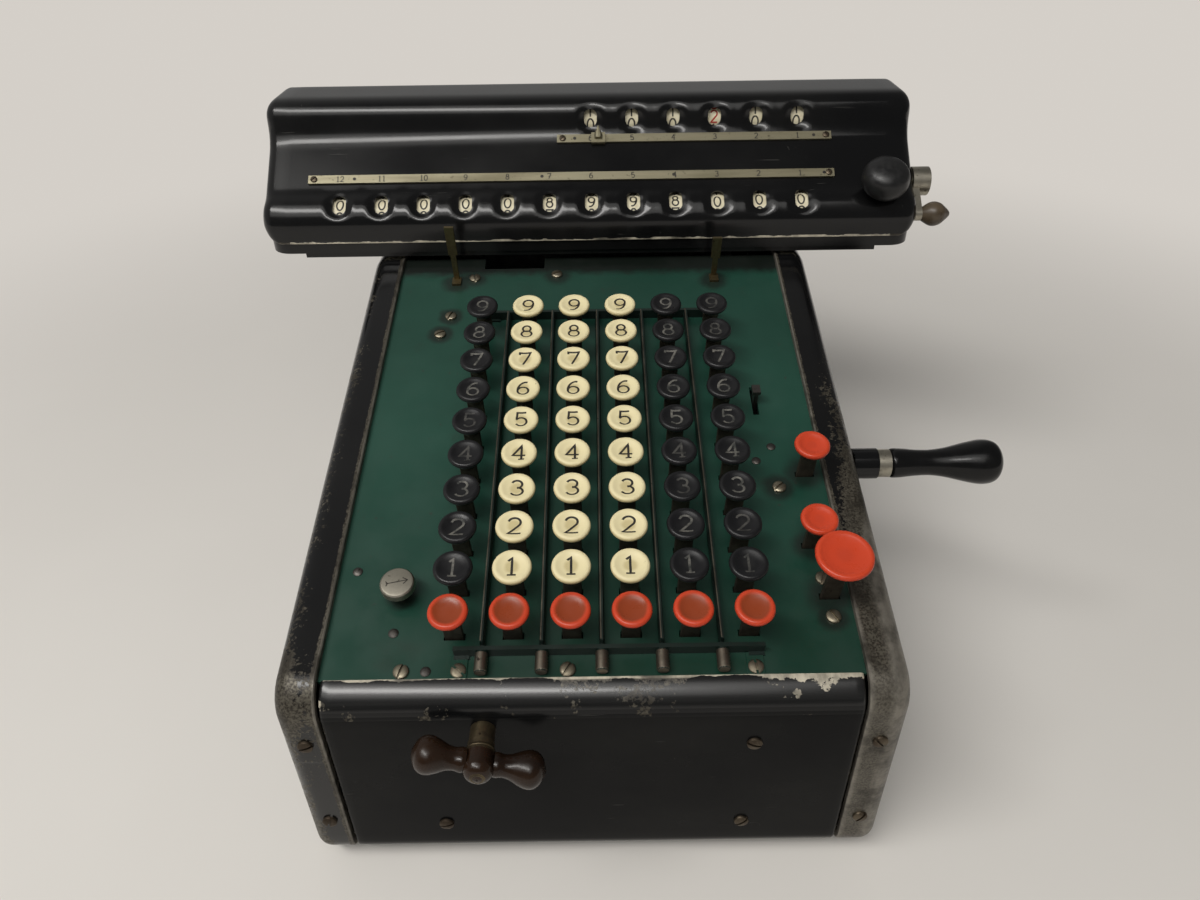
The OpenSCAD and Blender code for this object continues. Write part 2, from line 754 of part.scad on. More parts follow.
module repeat_key() in_frame() color([0.8, 0.13, 0.08]) on_plate(repeat_x, repeat_row)
    key(red_d, repeat_top);

module non_repeat_key() in_frame() color([0.8, 0.13, 0.08]) on_plate(function_x, single_row)
    key(red_d, single_top);

module clear_key() in_frame() color([0.8, 0.13, 0.08]) on_plate(clear_x, clear_row)
    key(clear_d, clear_top, function_x - clear_x);

module item_count_knob() in_frame() color([0.62, 0.6, 0.55]) on_plate(item_x, item_row) {
    difference() {
        translate([0, 0, item_h - item_t]) cylinder(d = item_d, h = item_t);
        translate([-item_d / 2 - cut, -screw_slot / 2, item_h - screw_slot / 2])
            cube([item_d + 2 * cut, screw_slot, screw_slot]);
    }
    translate([0, 0, -2 * plate_t]) cylinder(d = post_d, h = 2 * plate_t + item_h - item_t);
}

module index_lever() in_frame() color([0.1, 0.1, 0.1]) on_plate(lever_x, lever_row) {
    box([-lever_t / 2, -lever_l / 2, -3 * plate_t], [lever_t / 2, lever_l / 2, lever_h]);
    box([-lever_t, -lever_l / 2, lever_h - lever_t], [lever_t, lever_l / 2, lever_h]);
}

// decimal markers

module decimal_marker(n) in_frame() color([0.5, 0.48, 0.42])
    on_plate(col_x(n) + col_pitch / 2, 0) translate([0, 0, marker_axis]) {
        translate([0, bar_front - bar_t / 2 - knurl_l, 0]) rotate([-90, 0, 0]) {
            cylinder(d = knurl_d, h = knurl_l);
            cylinder(d = pivot_d, h = bar_rear + bar_t - bar_front + knurl_l);
        }
        box([-blade_t / 2, bar_front + bar_t, 0], [blade_t / 2, bar_rear - bar_t, blade_h]);
    }

// crank and drums

module crank_arm() in_frame() color([0.1, 0.1, 0.1]) {
    along_x(arm_x, arm_x + arm_t) difference() {
        union() {
            translate([crank_y, crank_z]) circle(d = 1.8 * shaft_d);
            translate([grip_y, grip_z]) circle(d = collar_d);
            translate([crank_y, crank_z]) rotate(180 - arm_rest)
                translate([0, -arm_w / 2]) square([arm_l, arm_w]);
        }
        translate([crank_y, crank_z]) circle(d = shaft_d);
    }
    rod_x(collar_d, collar_x, ferrule_x, grip_y, grip_z);
    rod_x(grip_pin_d, ferrule_x, grip_x + grip_l / 2, grip_y, grip_z);
}

module crank_ferrule() in_frame() color([0.6, 0.58, 0.52]) difference() {
    rod_x(ferrule_d, ferrule_x, ferrule_x + ferrule_l, grip_y, grip_z);
    rod_x(grip_pin_d, ferrule_x - cut, ferrule_x + ferrule_l + cut, grip_y, grip_z);
}

// outline of the grip as share of its length and of its largest radius
grip_shape = [[0, 0.58], [0.02, 0.66], [0.1, 0.65], [0.24, 0.585], [0.36, 0.575], [0.48, 0.65],
    [0.6, 0.79], [0.7, 0.91], [0.8, 1], [0.88, 0.985], [0.94, 0.86], [0.98, 0.58], [1, 0.2]];

module crank_grip() in_frame() color([0.04, 0.04, 0.04]) difference() {
    translate([grip_x, grip_y, grip_z]) rotate([0, 90, 0]) rotate_extrude()
        polygon(concat([[0, 0]], [for (p = grip_shape) [p[1] * grip_d / 2, p[0] * grip_l]],
            [[0, grip_l]]));
    rod_x(grip_pin_d + 2 * run_gap, grip_x - cut, grip_x + grip_l / 2 + 2 * grip_gap, grip_y, grip_z);
}

module drive_gear(z, turn) along_x(drive_x, drive_x + drive_w) translate([crank_y, z]) rotate(turn)
    toothed(drive_n, drive_r, 1, 1.4, 0.2);

module crank_shaft() in_frame() color([0.5, 0.5, 0.5]) {
    rod_x(shaft_d, frame_x - frame_t, arm_x + arm_t, crank_y, crank_z);
    drive_gear(crank_z, -90);
}

module drum_shaft() in_frame() color([0.5, 0.5, 0.5]) {
    rod_x(shaft_d, -frame_x - 2 * frame_t, drive_x + drive_w, crank_y, drum_z);
    drive_gear(drum_z, 90 + 180 / drive_n);
}

module actuator_drum(x) translate([x, crank_y, drum_z]) rotate([0, 90, 0]) difference() {
    union() {
        cylinder(r = drum_r, h = drum_w);
        for (i = [1 : steps]) rotate(i * 180 / steps)
            translate([drum_r - step_h, -step_h / 2, 0])
                cube([2 * step_h, step_h, drum_w * i / steps]);
    }
    translate([0, 0, -cut]) cylinder(d = shaft_d, h = drum_w + 2 * cut);
}

module actuator_drums() in_frame() color([0.6, 0.52, 0.3])
    for (c = [1 : cols]) actuator_drum(col_x(c) - drum_w / 2);

// carriage shift

module shift_turn() translate([shift_x, 0, shift_z]) rotate([0, shift_tilt, 0]) children();

// outline of a handle knob as share of its length and of its largest radius
knob_shape = [[0, 0.62], [0.08, 0.66], [0.2, 0.6], [0.34, 0.66], [0.5, 0.86], [0.66, 1],
    [0.8, 0.96], [0.92, 0.7], [1, 0.2]];
shift_knob_l = (shift_span - shift_hub_d) / 2;
// outline of the handle's hub as share of its reach and of its radius
hub_shape = [[0.3, 0.86], [0.42, 0.86], [0.46, 0.95], [0.52, 1], [0.82, 1], [0.9, 0.9], [0.96, 0.7],
    [1, 0.4]];

module shift_shaft() in_frame() color([0.3, 0.24, 0.17]) {
    rod_y(shift_d, shift_x, -shift_reach / 3, gear_end, shift_z);
    translate([shift_x, 0, shift_z]) rotate([90, 0, 0]) rotate_extrude()
        polygon(concat([[0, hub_shape[0][0] * shift_reach]],
            [for (p = hub_shape) [p[1] * shift_hub_d / 2, p[0] * shift_reach]], [[0, shift_reach]]));
    shift_turn() translate([0, -shift_reach * 2 / 3, 0])
        rod_x(shift_bar_d, -shift_span / 2 + shift_bar_d, shift_span / 2 - shift_bar_d, 0, 0);
    along_y(gear_y, gear_y + gear_w) translate([shift_x, shift_z]) rotate(90 + 180 / pinion_n)
        toothed(pinion_n, pinion_r, gear_add, gear_ded, 0.2);
}

module shift_knobs() in_frame() color([0.2, 0.12, 0.08]) shift_turn()
    for (m = [0, 1]) mirror([m, 0, 0]) translate([shift_hub_d / 2, -shift_reach * 2 / 3, 0])
        difference() {
            rotate([0, 90, 0]) rotate_extrude()
                polygon(concat([[0, 0]],
                    [for (p = knob_shape) [p[1] * shift_knob_d / 2, p[0] * shift_knob_l]],
                    [[0, shift_knob_l]]));
            rod_x(shift_bar_d, -cut, shift_knob_l - shift_bar_d, 0, 0);
        }

module shift_idler() in_frame() color([0.6, 0.52, 0.3])
    along_y(gear_y, gear_y + gear_w) translate([shift_x, idler_z]) difference() {
        rotate(-90) toothed(idler_n, idler_r, gear_add, gear_ded, 0.2);
        circle(d = shift_d + 2 * run_gap);
        for (a = [0 : 60 : 300]) rotate(a) translate([idler_r * 0.58, 0]) circle(idler_r * 0.2);
    }

// carriage

module rack() {
    half = gear_pitch / 4 - 0.2;
    lean = tan(20);
    for (k = [-rack_left : rack_right]) translate([shift_x + rack_shift + k * gear_pitch, rack_z])
        polygon([[-half - gear_ded * lean, gear_ded], [-half + gear_add * lean, -gear_add],
            [half - gear_add * lean, -gear_add], [half + gear_ded * lean, gear_ded]]);
    translate([shift_x + rack_shift - (rack_left + 0.5) * gear_pitch, rack_z + gear_ded])
        square([(rack_left + rack_right + 1) * gear_pitch, tray_z - rack_z - gear_ded + tray_t / 2]);
}

module cover_outline(d) difference() {
    polygon([
        [cover_y + d, cover_z],
        sharp([low_y, low_z], ridge_low - d, ridge_end, 180),
        [low_y, low_z] + (ridge_low - d) * [cos(ridge_end), sin(ridge_end)],
        valley_1 + d * [sin(valley), -cos(valley)],
        valley_2 + d * [sin(valley), -cos(valley)],
        [up_y - ridge_up + d, up_z],
        [up_y - ridge_up + d, top_z - d],
        [back_y - d, top_z - d],
        [back_y - d, cover_z]]);
    corner_waste([low_y, low_z], ridge_low - d, ridge_end, 180);
    corner_waste([up_y, up_z], ridge_up - d, 90, 180);
    corner_waste(back_c, cover_rear_r - d, 0, 90);
}

// plan of the apron: a front strip whose ends turn back round the corners
module apron_plan(d) {
    x0 = carriage_left + apron_in + d;
    x1 = carriage_right - apron_in - d;
    y0 = cover_y + apron_in + d;
    r = apron_r - d;
    difference() {
        translate([x0, y0]) square([x1 - x0, r + 2 * d]);
        corner_waste([x0 + r, y0 + r], r, 180, 270);
        corner_waste([x1 - r, y0 + r], r, 270, 360);
    }
}

module apron() translate([0, 0, cover_z - apron_h]) linear_extrude(apron_h) difference() {
    apron_plan(0);
    apron_plan(guide_t);
}

module carriage_frame() in_frame() color([0.1, 0.1, 0.1]) {
    apron();
    difference() {
        union() {
            box([frame_left, cover_y + cover_t, tray_z],
                [frame_right, back_y - cover_t, tray_z + tray_t]);
            box([frame_left, cover_y + cover_t, carriage_z],
                [frame_right, cover_y + cover_t + guide_t, tray_z]);
            for (y = [rail_y, rail_y + rail_span]) {
                box([frame_left, y - guide_t, carriage_z], [frame_right, y, tray_z]);
                box([frame_left, y + rail_w, carriage_z],
                    [frame_right, y + rail_w + guide_t, tray_z]);
            }
            for (x = [frame_left, frame_right - cheek_t]) along_x(x, x + cheek_t) intersection() {
                cover_outline(cover_t);
                translate([cover_y, tray_z]) square([back_y - cover_y, top_z - tray_z - 2 * cover_t]);
            }
        }
        box([frame_left + 2 * cheek_t, low_y - dial_slot, carriage_z - cut],
            [dial_x + dial_w, low_y + dial_slot, tray_z + tray_t + cut]);
        rod_x(dial_shaft_d + 2 * run_gap, frame_right - cheek_t - cut, frame_right + cut,
            clear_y, clear_z);
    }
    along_y(gear_y - 0.5, gear_y + gear_w + 0.5) rack();
}

// front view of the cover with its rounded upper corners
module cover_front(d) {
    r = cover_corner - d;
    x0 = carriage_left + d;
    x1 = carriage_right - d;
    difference() {
        translate([x0, cover_z - cut]) square([x1 - x0, top_z - d - cover_z + cut]);
        corner_waste([x0 + r, top_z - d - r], r, 90, 180);
        corner_waste([x1 - r, top_z - d - r], r, 0, 90);
    }
}

module cover_solid(d) intersection() {
    along_x(carriage_left + d, carriage_right - d) cover_outline(d);
    along_y(cover_y - cut, back_y + cut) cover_front(d);
}

// an oval window through the cover, seen from outside
module window(x, y, z, r, angle, h) translate([x, y, z]) rotate([90 - angle, 0, 0])
    translate([0, 0, r - 2 * cover_t]) linear_extrude(4 * cover_t) {
        for (v = [-1, 1]) translate([0, v * (h - window_w) / 2]) circle(d = window_w);
        square([window_w, h - window_w], center = true);
    }

module knob_place() translate([knob_x, low_y, low_z]) rotate([90 - knob_angle, 0, 0])
    translate([0, 0, ridge_low]) children();

module carriage_cover() in_frame() color([0.05, 0.05, 0.05]) difference() {
    cover_solid(0);
    cover_solid(cover_t);
    along_x(carriage_left + cover_t, carriage_right - cover_t) translate([cover_y + cover_t, cover_z - cut])
        square([back_y - cover_y - 2 * cover_t, 2 * cut]);
    for (k = [0 : low_dials - 1])
        window(dial_x - k * col_pitch, low_y, low_z, ridge_low, window_low, window_low_h);
    for (k = [0 : up_dials - 1])
        window(dial_x - k * col_pitch, up_y, up_z, ridge_up, window_up, window_up_h);
    rod_x(dial_shaft_d + 2 * run_gap, carriage_right - cover_t - cut, carriage_right + cut,
        clear_y, clear_z);
    knob_place() translate([0, 0, -2 * cover_t]) cylinder(d = knob_d * 0.4, h = 4 * cover_t);
}

// a place on the valley of the cover, as share of its length
module on_valley(x, share) translate([x, valley_1[0] + share * (valley_2[0] - valley_1[0]),
    valley_1[1] + share * (valley_2[1] - valley_1[1])]) rotate([valley, 0, 0]) children();

low_share = 0.245;
up_share = 0.9;

module dial_scales() in_frame() color([0.6, 0.57, 0.45]) {
    on_valley(0, low_share) box([strip_low_left, -strip_w / 2, 0], [strip_right, strip_w / 2, strip_t]);
    on_valley(0, up_share) box([strip_up_left, -strip_w / 2, 0], [strip_right, strip_w / 2, strip_t]);
}

module scale_slider() in_frame() color([0.62, 0.55, 0.35]) on_valley(slider_x, up_share) {
    box([-strip_w * 0.8, -strip_w / 2 - strip_t, strip_t],
        [strip_w * 0.8, strip_w / 2, 2 * strip_t]);
    box([-strip_w * 0.8, -strip_w / 2 - strip_t, 0.3],
        [strip_w * 0.8, -strip_w / 2, strip_t]);
    box([-strip_t / 2, -strip_w, 2 * strip_t], [strip_t / 2, strip_w / 2, 3 * strip_t]);
}

module carriage_knob() in_frame() color([0.04, 0.04, 0.04]) knob_place() {
    translate([0, 0, -cover_t]) cylinder(d = knob_d * 0.4, h = cover_t + knob_h / 2);
    rotate_extrude() intersection() {
        union() {
            translate([0, knob_h - knob_d * 0.62]) circle(knob_d * 0.62);
            translate([0, knob_h / 2]) square([knob_d * 0.45, knob_h / 4]);
        }
        translate([0, knob_h * 0.4]) square([knob_d / 2, knob_h]);
    }
}

module dials(n, r, y, z) for (k = [0 : n - 1]) difference() {
    rod_x(2 * r, dial_x - k * col_pitch - dial_w / 2, dial_x - k * col_pitch + dial_w / 2, y, z);
    rod_x(dial_shaft_d + 2 * run_gap, dial_x - k * col_pitch - dial_w,
        dial_x - k * col_pitch + dial_w, y, z);
}

module lower_dials() in_frame() color([0.85, 0.82, 0.7]) dials(low_dials, low_dial_r, low_y, low_z);

module upper_dials() in_frame() color([0.85, 0.82, 0.7]) dials(up_dials, up_dial_r, up_y, up_z);

module dial_shafts() in_frame() color([0.5, 0.5, 0.5]) {
    for (p = [[low_y, low_z], [up_y, up_z]])
        rod_x(dial_shaft_d, frame_left + cheek_t, frame_right - cheek_t, p[0], p[1]);
}

module clear_turn() translate([carriage_right, clear_y, clear_z]) rotate([clear_arm_rest, 0, 0])
    children();

module clearing_crank() in_frame() color([0.62, 0.6, 0.56]) {
    rod_x(dial_shaft_d, frame_right - 2 * cheek_t, carriage_right + clear_arm_x, clear_y, clear_z);
    clear_turn() {
        rod_x(clear_hub_d, clear_arm_x, clear_arm_x + clear_hub_l, 0, 0);
        along_x(clear_arm_x, clear_arm_x + cheek_t) {
            translate([-clear_arm_l, -dial_shaft_d / 2]) square([clear_arm_l, dial_shaft_d]);
            translate([-clear_arm_l, 0]) circle(d = dial_shaft_d);
        }
        rod_x(dial_shaft_d / 2, clear_arm_x + cheek_t, clear_arm_x + cheek_t + clear_knob_l / 2,
            -clear_arm_l, 0);
    }
}

// outline of the clearing knob as share of its length and of its largest radius
bead_shape = [[0, 0.5], [0.1, 0.66], [0.3, 0.93], [0.48, 1], [0.68, 0.86], [0.84, 0.56],
    [0.92, 0.4], [1, 0.2]];

module clearing_knob() in_frame() color([0.2, 0.12, 0.08]) clear_turn()
    translate([clear_arm_x + cheek_t, -clear_arm_l, 0]) difference() {
        rotate([0, 90, 0]) rotate_extrude()
            polygon(concat([[0, 0]],
                [for (p = bead_shape) [p[1] * clear_knob_d / 2, p[0] * clear_knob_l]],
                [[0, clear_knob_l]]));
        rod_x(dial_shaft_d / 2, -cut, clear_knob_l / 2, 0, 0);
    }

base_plate();
left_side_panel();
right_side_panel();
front_cover();
keyboard_plate();
rear_cover();
rubber_feet();
inner_frame();
carriage_rails();
marker_bars();
column_pointers();
case_screws();
black_keys(1);  // black_keys_1
black_keys(2);  // black_keys_2
black_keys(3);  // black_keys_3
black_keys(4);  // black_keys_4
black_keys(5);  // black_keys_5
black_keys(6);  // black_keys_6
black_keys(7);  // black_keys_7
black_keys(8);  // black_keys_8
black_keys(9);  // black_keys_9
ivory_keys(1);  // ivory_keys_1
ivory_keys(2);  // ivory_keys_2
ivory_keys(3);  // ivory_keys_3
ivory_keys(4);  // ivory_keys_4
ivory_keys(5);  // ivory_keys_5
ivory_keys(6);  // ivory_keys_6
ivory_keys(7);  // ivory_keys_7
ivory_keys(8);  // ivory_keys_8
ivory_keys(9);  // ivory_keys_9
column_clear_keys();
repeat_key();
non_repeat_key();
clear_key();
item_count_knob();
decimal_marker(1);  // decimal_marker_1
decimal_marker(2);  // decimal_marker_2
decimal_marker(3);  // decimal_marker_3
decimal_marker(4);  // decimal_marker_4
decimal_marker(5);  // decimal_marker_5
index_lever();
crank_arm();
crank_ferrule();
crank_grip();
crank_shaft();
drum_shaft();
actuator_drums();
shift_shaft();
shift_knobs();
shift_idler();
carriage_frame();
carriage_cover();
dial_scales();
scale_slider();
carriage_knob();
lower_dials();
upper_dials();
dial_shafts();
clearing_crank();
clearing_knob();
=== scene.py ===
"""Looks of the hand-cranked calculator: meshes, materials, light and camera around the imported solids."""
import math

import bmesh
import bpy
from mathutils import Matrix, Vector


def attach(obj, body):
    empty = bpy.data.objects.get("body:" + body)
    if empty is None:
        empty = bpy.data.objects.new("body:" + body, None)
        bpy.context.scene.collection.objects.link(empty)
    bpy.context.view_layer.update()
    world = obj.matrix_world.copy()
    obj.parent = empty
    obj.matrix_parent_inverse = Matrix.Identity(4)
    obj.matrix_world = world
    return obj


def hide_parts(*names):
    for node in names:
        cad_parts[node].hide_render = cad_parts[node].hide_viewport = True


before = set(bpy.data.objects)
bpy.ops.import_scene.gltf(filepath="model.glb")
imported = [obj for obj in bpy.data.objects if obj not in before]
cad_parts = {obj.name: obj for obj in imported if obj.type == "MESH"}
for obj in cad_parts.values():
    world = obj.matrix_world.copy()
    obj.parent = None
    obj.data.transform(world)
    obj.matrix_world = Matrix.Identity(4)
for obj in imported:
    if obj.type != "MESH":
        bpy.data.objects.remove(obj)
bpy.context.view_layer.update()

# Sizes in millimetres, in the machine's own frame: x right from the middle of the case, y back from
# its front face, z up from the table. They repeat the values of the solids.
MID = Vector((8.7, 132.25, 0))
SLOPE_DEG = 15
SLOPE = math.radians(SLOPE_DEG)
SL, CL, TL = math.sin(SLOPE), math.cos(SLOPE), math.tan(SLOPE)
HALF_W, CASE_D, SEAM, FOOT = 100, 280, 86, 5
PLATE_Z, LEVEL_Y, FLANGE_T = 85.8, 208, 2.5
PANEL_R, UNDER_R, REAR_R = 13.5, 8, 10
COVER_R, LIP_RISE, FRONT_T = 11, 0.8, 2.5
COL_PITCH, ROW_PITCH, COL_MID, ROW_1 = 19.05, 15.9, 3.2, 39.5
CAP_D, CAP_H, KEY_TOP, NECK_D = 12.9, 4.6, 17.1, 5.6
STEM_W, STEM_D, STEM_BELOW = 6.2, 1.6, 16
CARRIAGE = (-148.6, 149.5)
COVER_Y, COVER_Z = 207, 153.02
RIDGE_LOW, RIDGE_UP, BACK_R = 13, 12.5, 12
LOW = Vector((220, 159.42))
UP = Vector((252.5, 194.42))
TOP_FLAT = 18
VALLEY = math.radians(42)
DIAL_X, LOW_DIALS, UP_DIALS = 96.6, 12, 6
WINDOW_W, LOW_H, UP_H, WINDOW_LOW, WINDOW_UP = 6, 10, 8, 54, 19
LOW_DIAL_R, UP_DIAL_R = 10.2, 9.7
LOW_SHARE, UP_SHARE, KNOB_ANGLE = 0.245, 0.9, 62
SLIDER_X = 4.85
ITEM_X, ITEM_S = -63.7, 39
FRONT_BAR_S, BAR_FEET = 11.4, (-42.1, 51.6)
RED_S, RED_D, RED_TOP = 23.4, 12.7, 17.4
# red keys at the right: name, sideways, along the plate, diameter, height
FUNCTION_KEYS = [("repeat", 76.6, 56.6, RED_D, 17), ("non_repeat", 79.3, 88.2, RED_D, 18),
                 ("clear", 79.3, 36.4, 18.5, 26)]
KNURL_S, KNURL_Z, KNURL_L = 17.2 - 0.7 - 7.05, 2.5, 7
CRANK_Y, CRANK_Z, ARM_L, ARM_REST = 142, 65, 54, 42
GRIP_X, GRIP_L, GRIP_R = 116.9, 43.5, 8.75
SHIFT_X, SHIFT_Z, SHIFT_REACH, SHIFT_TILT = -34.5, 74.5, 12, 15
HUB_L, HUB_R, HUB_WOOD = 18, 4.75, 0.535
KNOB_X, CLEARING, CLEAR_REST = 132, (149.5, 230, 170.42), 38
LEVEL_Z = PLATE_Z + LEVEL_Y * TL + FLANGE_T / CL


def rad(degrees):
    return math.radians(degrees)


def smoothstep(lo, hi, x):
    t = min(max((x - lo) / (hi - lo), 0), 1)
    return t * t * (3 - 2 * t)


def shift(x, y, z):
    return Matrix.Translation((x, y, z))


def turn(degrees, axis):
    return Matrix.Rotation(rad(degrees), 4, axis)


def on_plate(x, s, height=0):
    """A place on the keyboard plate: sideways, along the plate, and above it."""
    return shift(x, s * CL, PLATE_Z + s * SL) @ Matrix.Rotation(SLOPE, 4, "X") @ shift(0, 0, height)


# ---- meshes

MERGE = 1e-6  # metres between vertices that become one


class Build:
    """Collects the faces of one piece in millimetres; each vertex carries a value for the material."""

    def __init__(self):
        self.verts, self.faces, self.slots, self.wear = [], [], [], []

    def add(self, verts, faces, place=None, slot=0, wear=0.0, flip=False):
        base = len(self.verts)
        place = place or Matrix.Identity(4)
        verts = [Vector(v) for v in verts]
        self.wear += wear if isinstance(wear, list) else [wear(v) if callable(wear) else wear for v in verts]
        self.verts += [place @ v for v in verts]
        for face in faces:
            self.faces.append([base + i for i in (reversed(face) if flip else face)])
            self.slots.append(slot(face) if callable(slot) else slot)
        return self

    def piece(self, name, body, looks, finish, replaces=(), sharp=35):
        mesh = bpy.data.meshes.new(name)
        mesh.from_pydata([(v - MID) / 1000 for v in self.verts], [], self.faces)
        for look in looks:
            mesh.materials.append(look)
        mesh.polygons.foreach_set("material_index", self.slots)
        layer = mesh.attributes.new("wear", "FLOAT", "POINT")
        layer.data.foreach_set("value", self.wear)
        work = bmesh.new()
        work.from_mesh(mesh)
        bmesh.ops.remove_doubles(work, verts=work.verts, dist=MERGE)
        bmesh.ops.delete(work, geom=[v for v in work.verts if not v.link_faces], context="VERTS")
        work.to_mesh(mesh)
        work.free()
        mesh.shade_smooth()
        mesh.set_sharp_from_angle(angle=rad(sharp))
        mesh.update()
        obj = bpy.data.objects.new(name, mesh)
        bpy.context.scene.collection.objects.link(obj)
        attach(obj, body)
        if replaces:
            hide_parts(*replaces)


def rings(loops, closed=True, first=False, last=False):
    """Faces between loops of equal length, and over the first or the last loop."""
    n = len(loops[0])
    verts = [p for loop in loops for p in loop]
    faces = []
    for i in range(len(loops) - 1):
        for j in range(n if closed else n - 1):
            k = (j + 1) % n
            faces.append((i * n + j, i * n + k, (i + 1) * n + k, (i + 1) * n + j))
    faces += [tuple(range(n - 1, -1, -1))] * first + [tuple(range(len(verts) - n, len(verts)))] * last
    return verts, faces


def circle(r, z, n, groove=0, start=0):
    """Points of a circle; every second one is set in by groove."""
    points = []
    for i in range(n):
        reach, angle = r - groove * ((i + start) % 2), 2 * math.pi * i / n
        points.append((reach * math.cos(angle), reach * math.sin(angle), z))
    return points


def lathe(profile, n):
    """Turns (radius, height) points round the z axis, from the bottom up; closes both ends."""
    return rings([circle(r, z, n) for r, z in profile], first=True, last=True)


def curve_through(points, steps=5):
    """A smooth curve through points."""
    out = []
    p = [points[0]] + list(points) + [points[-1]]
    for i in range(1, len(p) - 2):
        for k in range(steps):
            t = k / steps
            a, b, c, d = (Vector(q) for q in p[i - 1:i + 3])
            out.append(0.5 * (2 * b + (c - a) * t + (2 * a - 5 * b + 4 * c - d) * t * t
                              + (3 * b - a - 3 * c + d) * t ** 3))
    return out + [Vector(points[-1])]


def block(lo, hi, e):
    """A box with edges chamfered by e."""
    mid, half = (Vector(lo) + Vector(hi)) / 2, (Vector(hi) - Vector(lo)) / 2
    loops = []
    for dz, inset in ((-1, e), (-1, 0), (1, 0), (1, e)):
        x, y = half.x - inset, half.y - inset
        z = mid.z + dz * (half.z - (e if inset == 0 else 0))
        loops.append([(mid.x + px, mid.y + py, z) for px, py in (
            (x - e, -y), (x, -y + e), (x, y - e), (x - e, y),
            (-x + e, y), (-x, y - e), (-x, -y + e), (-x + e, -y))])
    return rings(loops, first=True, last=True)


def arc(c, r, a0, a1, n):
    """Points of an arc in the plane; r may be a pair of radii."""
    rx, ry = r if isinstance(r, tuple) else (r, r)
    return [Vector((c[0] + rx * math.cos(rad(a0 + (a1 - a0) * i / n)),
                    c[1] + ry * math.sin(rad(a0 + (a1 - a0) * i / n)))) for i in range(n + 1)]


def line(a, b, n):
    return [Vector(a).lerp(Vector(b), i / n) for i in range(n + 1)]


def ring(c, r):
    return arc(c, r, 90, 450, 28)


# centre lines of plain numerals, one unit high
SIX = [ring((0, -.2), (.27, .3)), arc((.12, -.17), (.39, .65), 76, 180, 12)]
STROKES = [
    [ring((0, 0), (.28, .5))],
    [[(-.17, .34), (0, .5), (0, -.5)], [(-.19, -.5), (.19, -.5)]],
    [arc((0, .22), (.27, .28), 165, -38, 16) + [(-.27, -.5), (.29, -.5)]],
    [arc((0, .25), (.24, .25), 155, -90, 14), arc((0, -.23), (.28, .27), 90, -155, 16)],
    [[(.12, -.5), (.12, .5), (-.29, -.2), (.3, -.2)], [(-.02, -.5), (.26, -.5)]],
    [[(.24, .5), (-.19, .5), (-.22, .05)] + arc((0, -.18), (.27, .32), 140, -150, 16)],
    SIX,
    [[(-.27, .36), (-.27, .5), (.28, .5), (-.08, -.5)]],
    [ring((0, .26), (.21, .24)), ring((0, -.22), (.27, .28))],
    [[-p for p in path] for path in SIX]]
DIGIT_GAP, STROKE_STEP = 0.72, 0.2  # shares of a numeral's height


def numeral(number, height, width, lay=lambda x, y: (x, y, 0), paths=None):
    """A number in flat strokes; lay puts its plane on a surface, paths keeps only the first strokes."""
    verts, faces = [], []
    text = str(number)
    for place, char in enumerate(text):
        offset = (place - (len(text) - 1) / 2) * DIGIT_GAP
        for path in STROKES[int(char)][:paths]:
            path = [Vector(p) for p in path]
            path = [p for a, b in zip(path, path[1:])
                    for p in line(a, b, math.ceil((b - a).length / STROKE_STEP))[:-1]] + path[-1:]
            base = len(verts)
            for i, p in enumerate(path):
                before = (p - path[i - 1]).normalized() if i else None
                after = (path[i + 1] - p).normalized() if i + 1 < len(path) else None
                along = ((before or after) + (after or before)).normalized()
                stretch = 1 / max(along.dot(after or before), 0.6)
                side = Vector((-along.y, along.x)) * width / 2 * stretch
                for q in (p * height + side, p * height - side):
                    verts.append(lay(q.x + offset * height, q.y))
            faces += [(base + 2 * i, base + 2 * i + 1, base + 2 * i + 3, base + 2 * i + 2)
                      for i in range(len(path) - 1)]
    return verts, faces


def screw(d, h, slot):
    """A domed head with a slot along x."""
    r, drop, n = d / 2, h * 0.55, 14
    dome = lambda x, y: h * (0.45 + 0.55 * math.sqrt(max(1 - 0.97 * (x * x + y * y) / r / r, 0)))
    ys = [y for y in (-r * math.cos(a * math.pi / n) for a in range(n + 1)) if abs(y) > slot / 2]
    cut = [(-slot / 2, False), (-slot / 2, True), (slot / 2, True), (slot / 2, False)]
    ys = [(y, False) for y in ys if y < 0] + cut + [(y, False) for y in ys if y > 0]
    loops = []
    for y, low in ys:
        half = math.sqrt(max(r * r - y * y, 1e-4))
        row = [(half * math.cos(math.pi * (1 - i / n)), y) for i in range(n + 1)]
        top = [(x, y, dome(x, y) - (drop if low else 0)) for x, y in row]
        loops.append([(row[0][0], y, 0)] + top + [(row[-1][0], y, 0)])
    return rings(loops, closed=False)


# ---- materials

def put(tree, socket, value):
    """Links a node's output to a socket, or sets a constant."""
    if isinstance(value, bpy.types.NodeSocket):
        tree.links.new(value, socket)
    else:
        socket.default_value = (*value, 1) if socket.type == "RGBA" else value


def add_node(tree, kind, sockets, **settings):
    """A new shader node with its inputs and settings."""
    node = tree.nodes.new("ShaderNode" + kind)
    for name, value in settings.items():
        setattr(node, name, value)
    for name, value in sockets.items():
        put(tree, node.inputs[name], value)
    return node


